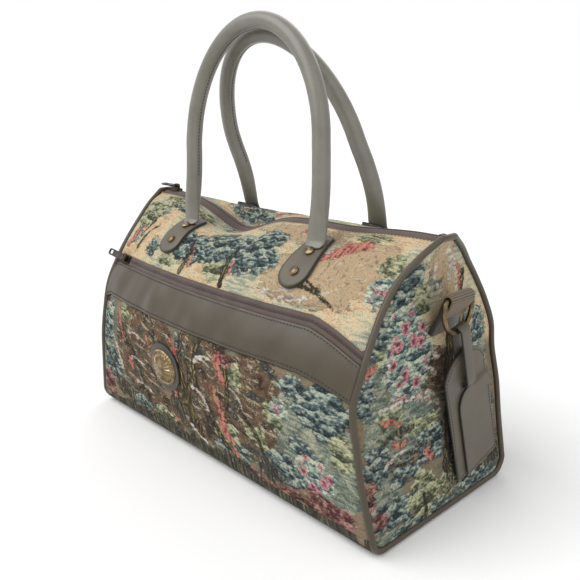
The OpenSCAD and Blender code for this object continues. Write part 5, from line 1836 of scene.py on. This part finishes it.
def flap_outline():
    """Flap seen flat: the tag's foot and right side, with one large rounded corner beside the slot."""
    turn = np.linspace(np.pi / 2, np.pi, 7)
    bend_middle = np.array([FLAP_LEFT + FLAP_BEND, SLOT_FOOT - FLAP_BEND])
    bend = bend_middle + FLAP_BEND * np.stack([np.cos(turn), np.sin(turn)], -1)
    rest = [[FLAP_LEFT, TAG_FOOT], [TAG_W / 2, TAG_FOOT], [TAG_W / 2, SLOT_FOOT]]
    return loop_of(np.vstack([bend, rest]), FLAP_CORNER, TAG_COUNT)


tag_flat = tag_outline()
print("tag outline from", np.round(tag_flat.min(0), 1), "to", np.round(tag_flat.max(0), 1))

# %% Tag leather
CARD_T, SEAM_CLEAR, TAG_ROUND = 0.4, 0.15, 0.6
FLAP_W = CARD_T + 2 * SEAM_CLEAR
# Pared corner of the flap: where it starts across, how far it eases across and down, and what is left of it
PARED_FROM, PARED_W, PARED_H, PARED_SHARE, PARED_SINK = 1.0, 8.0, 2.9, 0.6, 1.1


def on_tag(across, up, out):
    """Place of a point of the tag's plane: across it, up from the ring's bow and out of its face."""
    across, up, out = np.broadcast_arrays(across, up, out)
    drop = up - RING_R
    y = across * math.cos(TAG_LEAN) - drop * math.sin(TAG_LEAN)
    z = across * math.sin(TAG_LEAN) + drop * math.cos(TAG_LEAN)
    return np.stack([RING_X + out, y, RING_Z - RING_LEG + z], -1)


def behind_tag(across, up, out):
    """Place in the back leather, whose face lies in the tag's plane."""
    return on_tag(across, up, out - TAG_T)


def on_flap(across, up, out):
    """Place on the flap, which is pared down into the back leather at its top right corner."""
    pared = ease((across - PARED_FROM) / PARED_W) * (1 - ease((SLOT_FOOT - up) / PARED_H))
    return on_tag(across, up, mix(out + FLAP_W, out * PARED_SHARE - PARED_SINK, pared))


tag_back = plate("tag_leather", tag_flat, behind_tag, TAG_T, TAG_ROUND, slot_outline(tag_flat))
dress(tag_back, leather, "tag", "leather", "tag_back")
tag_flap = plate("tag_pocket", flap_outline(), on_flap, TAG_T, TAG_ROUND, rings_in=30)
dress(tag_flap, leather, "tag", "leather", "tag_flap")

# %% Tag strap
loop_r = LOOP_EYE_R + LOOP_T / 2
loop_turn = np.linspace(0, np.pi, 25)
loop_head = loop_r * np.stack([np.cos(loop_turn), np.sin(loop_turn)], -1)
loop_drop = np.array([0.0, LOOP_L])
loop_share = np.linspace(0, 1, 14)[1:-1, None]
loop_down = loop_head[-1] - loop_drop * loop_share
loop_up = loop_head[0] - loop_drop * (1 - loop_share)
loop_out, loop_height = np.vstack([loop_head, loop_down, -loop_head - loop_drop, loop_up]).T
loop_axis = on_tag(1.0, 0.0, 0.0) - on_tag(0.0, 0.0, 0.0)
loop_path = on_tag(0.0, loop_height, loop_out)
loop = strap("tag_strap", loop_path, loop_axis, LOOP_W / 2, LOOP_T / 2, TAG_ROUND, closed=True)
dress(loop, leather, "tag", "leather", "tag_loop")

# %% Tag stitches
RIM_INSET, RIM_LIFT, FLAP_MARGIN, FLAP_BELOW = 2.6, 0.05, 1.0, 20.0
tag_middle = np.array([0.0, -TAG_DROP - TAG_L / 2])
rim_across, rim_up = (tag_flat + unit(tag_middle - tag_flat) * RIM_INSET).T
over_flap = (rim_across > FLAP_LEFT + FLAP_MARGIN) & (rim_up < -LOOP_L - FLAP_BELOW)
rim_path = on_tag(rim_across, rim_up, np.where(over_flap, FLAP_W + TAG_T, 0.0) + RIM_LIFT)
rim_face = np.tile([1.0, 0.0, 0.0], (TAG_COUNT, 1))
stitch_row("tag_stitches", rim_path, rim_face, "tag", thread_cloth, pitch=3.0, length=2.1, width=0.6)

# %% [markdown]
# ## Finish on the plain pieces
#
# Some solids need no new form: sliders, pulls, stops, the card and the boards inside. They only take a
# finish, and the sharp metal edges get a small bevel so that they catch the light.

# %% Plain pieces
BEVEL = 0.25 * MM
zip_metal = [f"{word}_zip_{piece}" for word in ("main", "pocket") for piece in ("slider", "pull", "stops")]
finish_of = dict.fromkeys(zip_metal, dark_bronze)
finish_of |= {"name_card": card_stock, "base_board": base_board, "pocket_back_wall": lining}
for node_name, finish in finish_of.items():
    node_mesh = nodes[node_name].data
    node_mesh.materials.clear()
    node_mesh.materials.append(finish)
    if finish is dark_bronze:
        softened = nodes[node_name].modifiers.new("softened", "BEVEL")
        softened.width = BEVEL
        softened.segments = 2
        softened.limit_method = "ANGLE"
print("plain pieces:", len(finish_of))

# %% [markdown]
# ## Floor and light
#
# The bag stands on a plain pale floor. Soft light comes from a wide source, and a sun lamp with a wide angle
# is the simplest one: it lights the floor evenly, so no edge of a lamp's pool shows. One such lamp is the
# key, a weaker one fills the end with the tag, a third lights the rear, and a pale sky fills the rest. Their
# strengths add up so that a colour renders about as it is written. Only the camera, and what mirrors or lets
# through the sky, sees the sky as white.

# %% Floor
FLOOR_HALF = 8.0
floor_mesh = bpy.data.meshes.new("floor")
floor_corners = np.array([(-1, -1, 0), (1, -1, 0), (1, 1, 0), (-1, 1, 0)]) * FLOOR_HALF
floor_mesh.from_pydata(floor_corners.tolist(), [], [(0, 1, 2, 3)])
floor = bpy.data.objects.new("floor", floor_mesh)
scene_objects.link(floor)
floor_material, _, floor_shader = new_material("floor", {"Roughness": 0.95, "Specular IOR Level": 0.0})
floor_shader.inputs["Base Color"].default_value = tint(255, 255, 255)
floor_mesh.materials.append(floor_material)
print("floor", 2 * FLOOR_HALF, "m wide")

# %% Light
SKY_STRENGTH = 0.46


def wide_sun(name, towards, strength, angle):
    """Sun lamp that shines from a direction, as wide as an angle in degrees."""
    data = bpy.data.lights.new(name, "SUN")
    data.energy = strength
    data.angle = math.radians(angle)
    lamp = bpy.data.objects.new(name, data)
    lamp.rotation_mode = "QUATERNION"
    lamp.rotation_quaternion = Vector(towards).to_track_quat("Z", "Y")
    scene_objects.link(lamp)


wide_sun("key", (-0.42, -0.62, 0.80), 1.96, 55.0)
wide_sun("fill", (0.85, -0.25, 0.55), 0.80, 70.0)
wide_sun("rim", (-0.5, 0.7, 0.6), 0.50, 50.0)

world = bpy.data.worlds.new("studio")
bpy.context.scene.world = world
world.use_nodes = True
sky = Term(world.node_tree)
camera_ray, glossy_ray, clear_ray = (
    sky.node("LightPath", out=f"Is {ray} Ray") for ray in ("Camera", "Glossy", "Transmission")
)
seen = camera_ray.most(glossy_ray).most(clear_ray)
background = world.node_tree.nodes["Background"]
background.inputs["Color"].default_value = (1.0, 1.0, 1.0, 1.0)
(seen * (1.0 - SKY_STRENGTH) + SKY_STRENGTH).feed(background, "Strength")
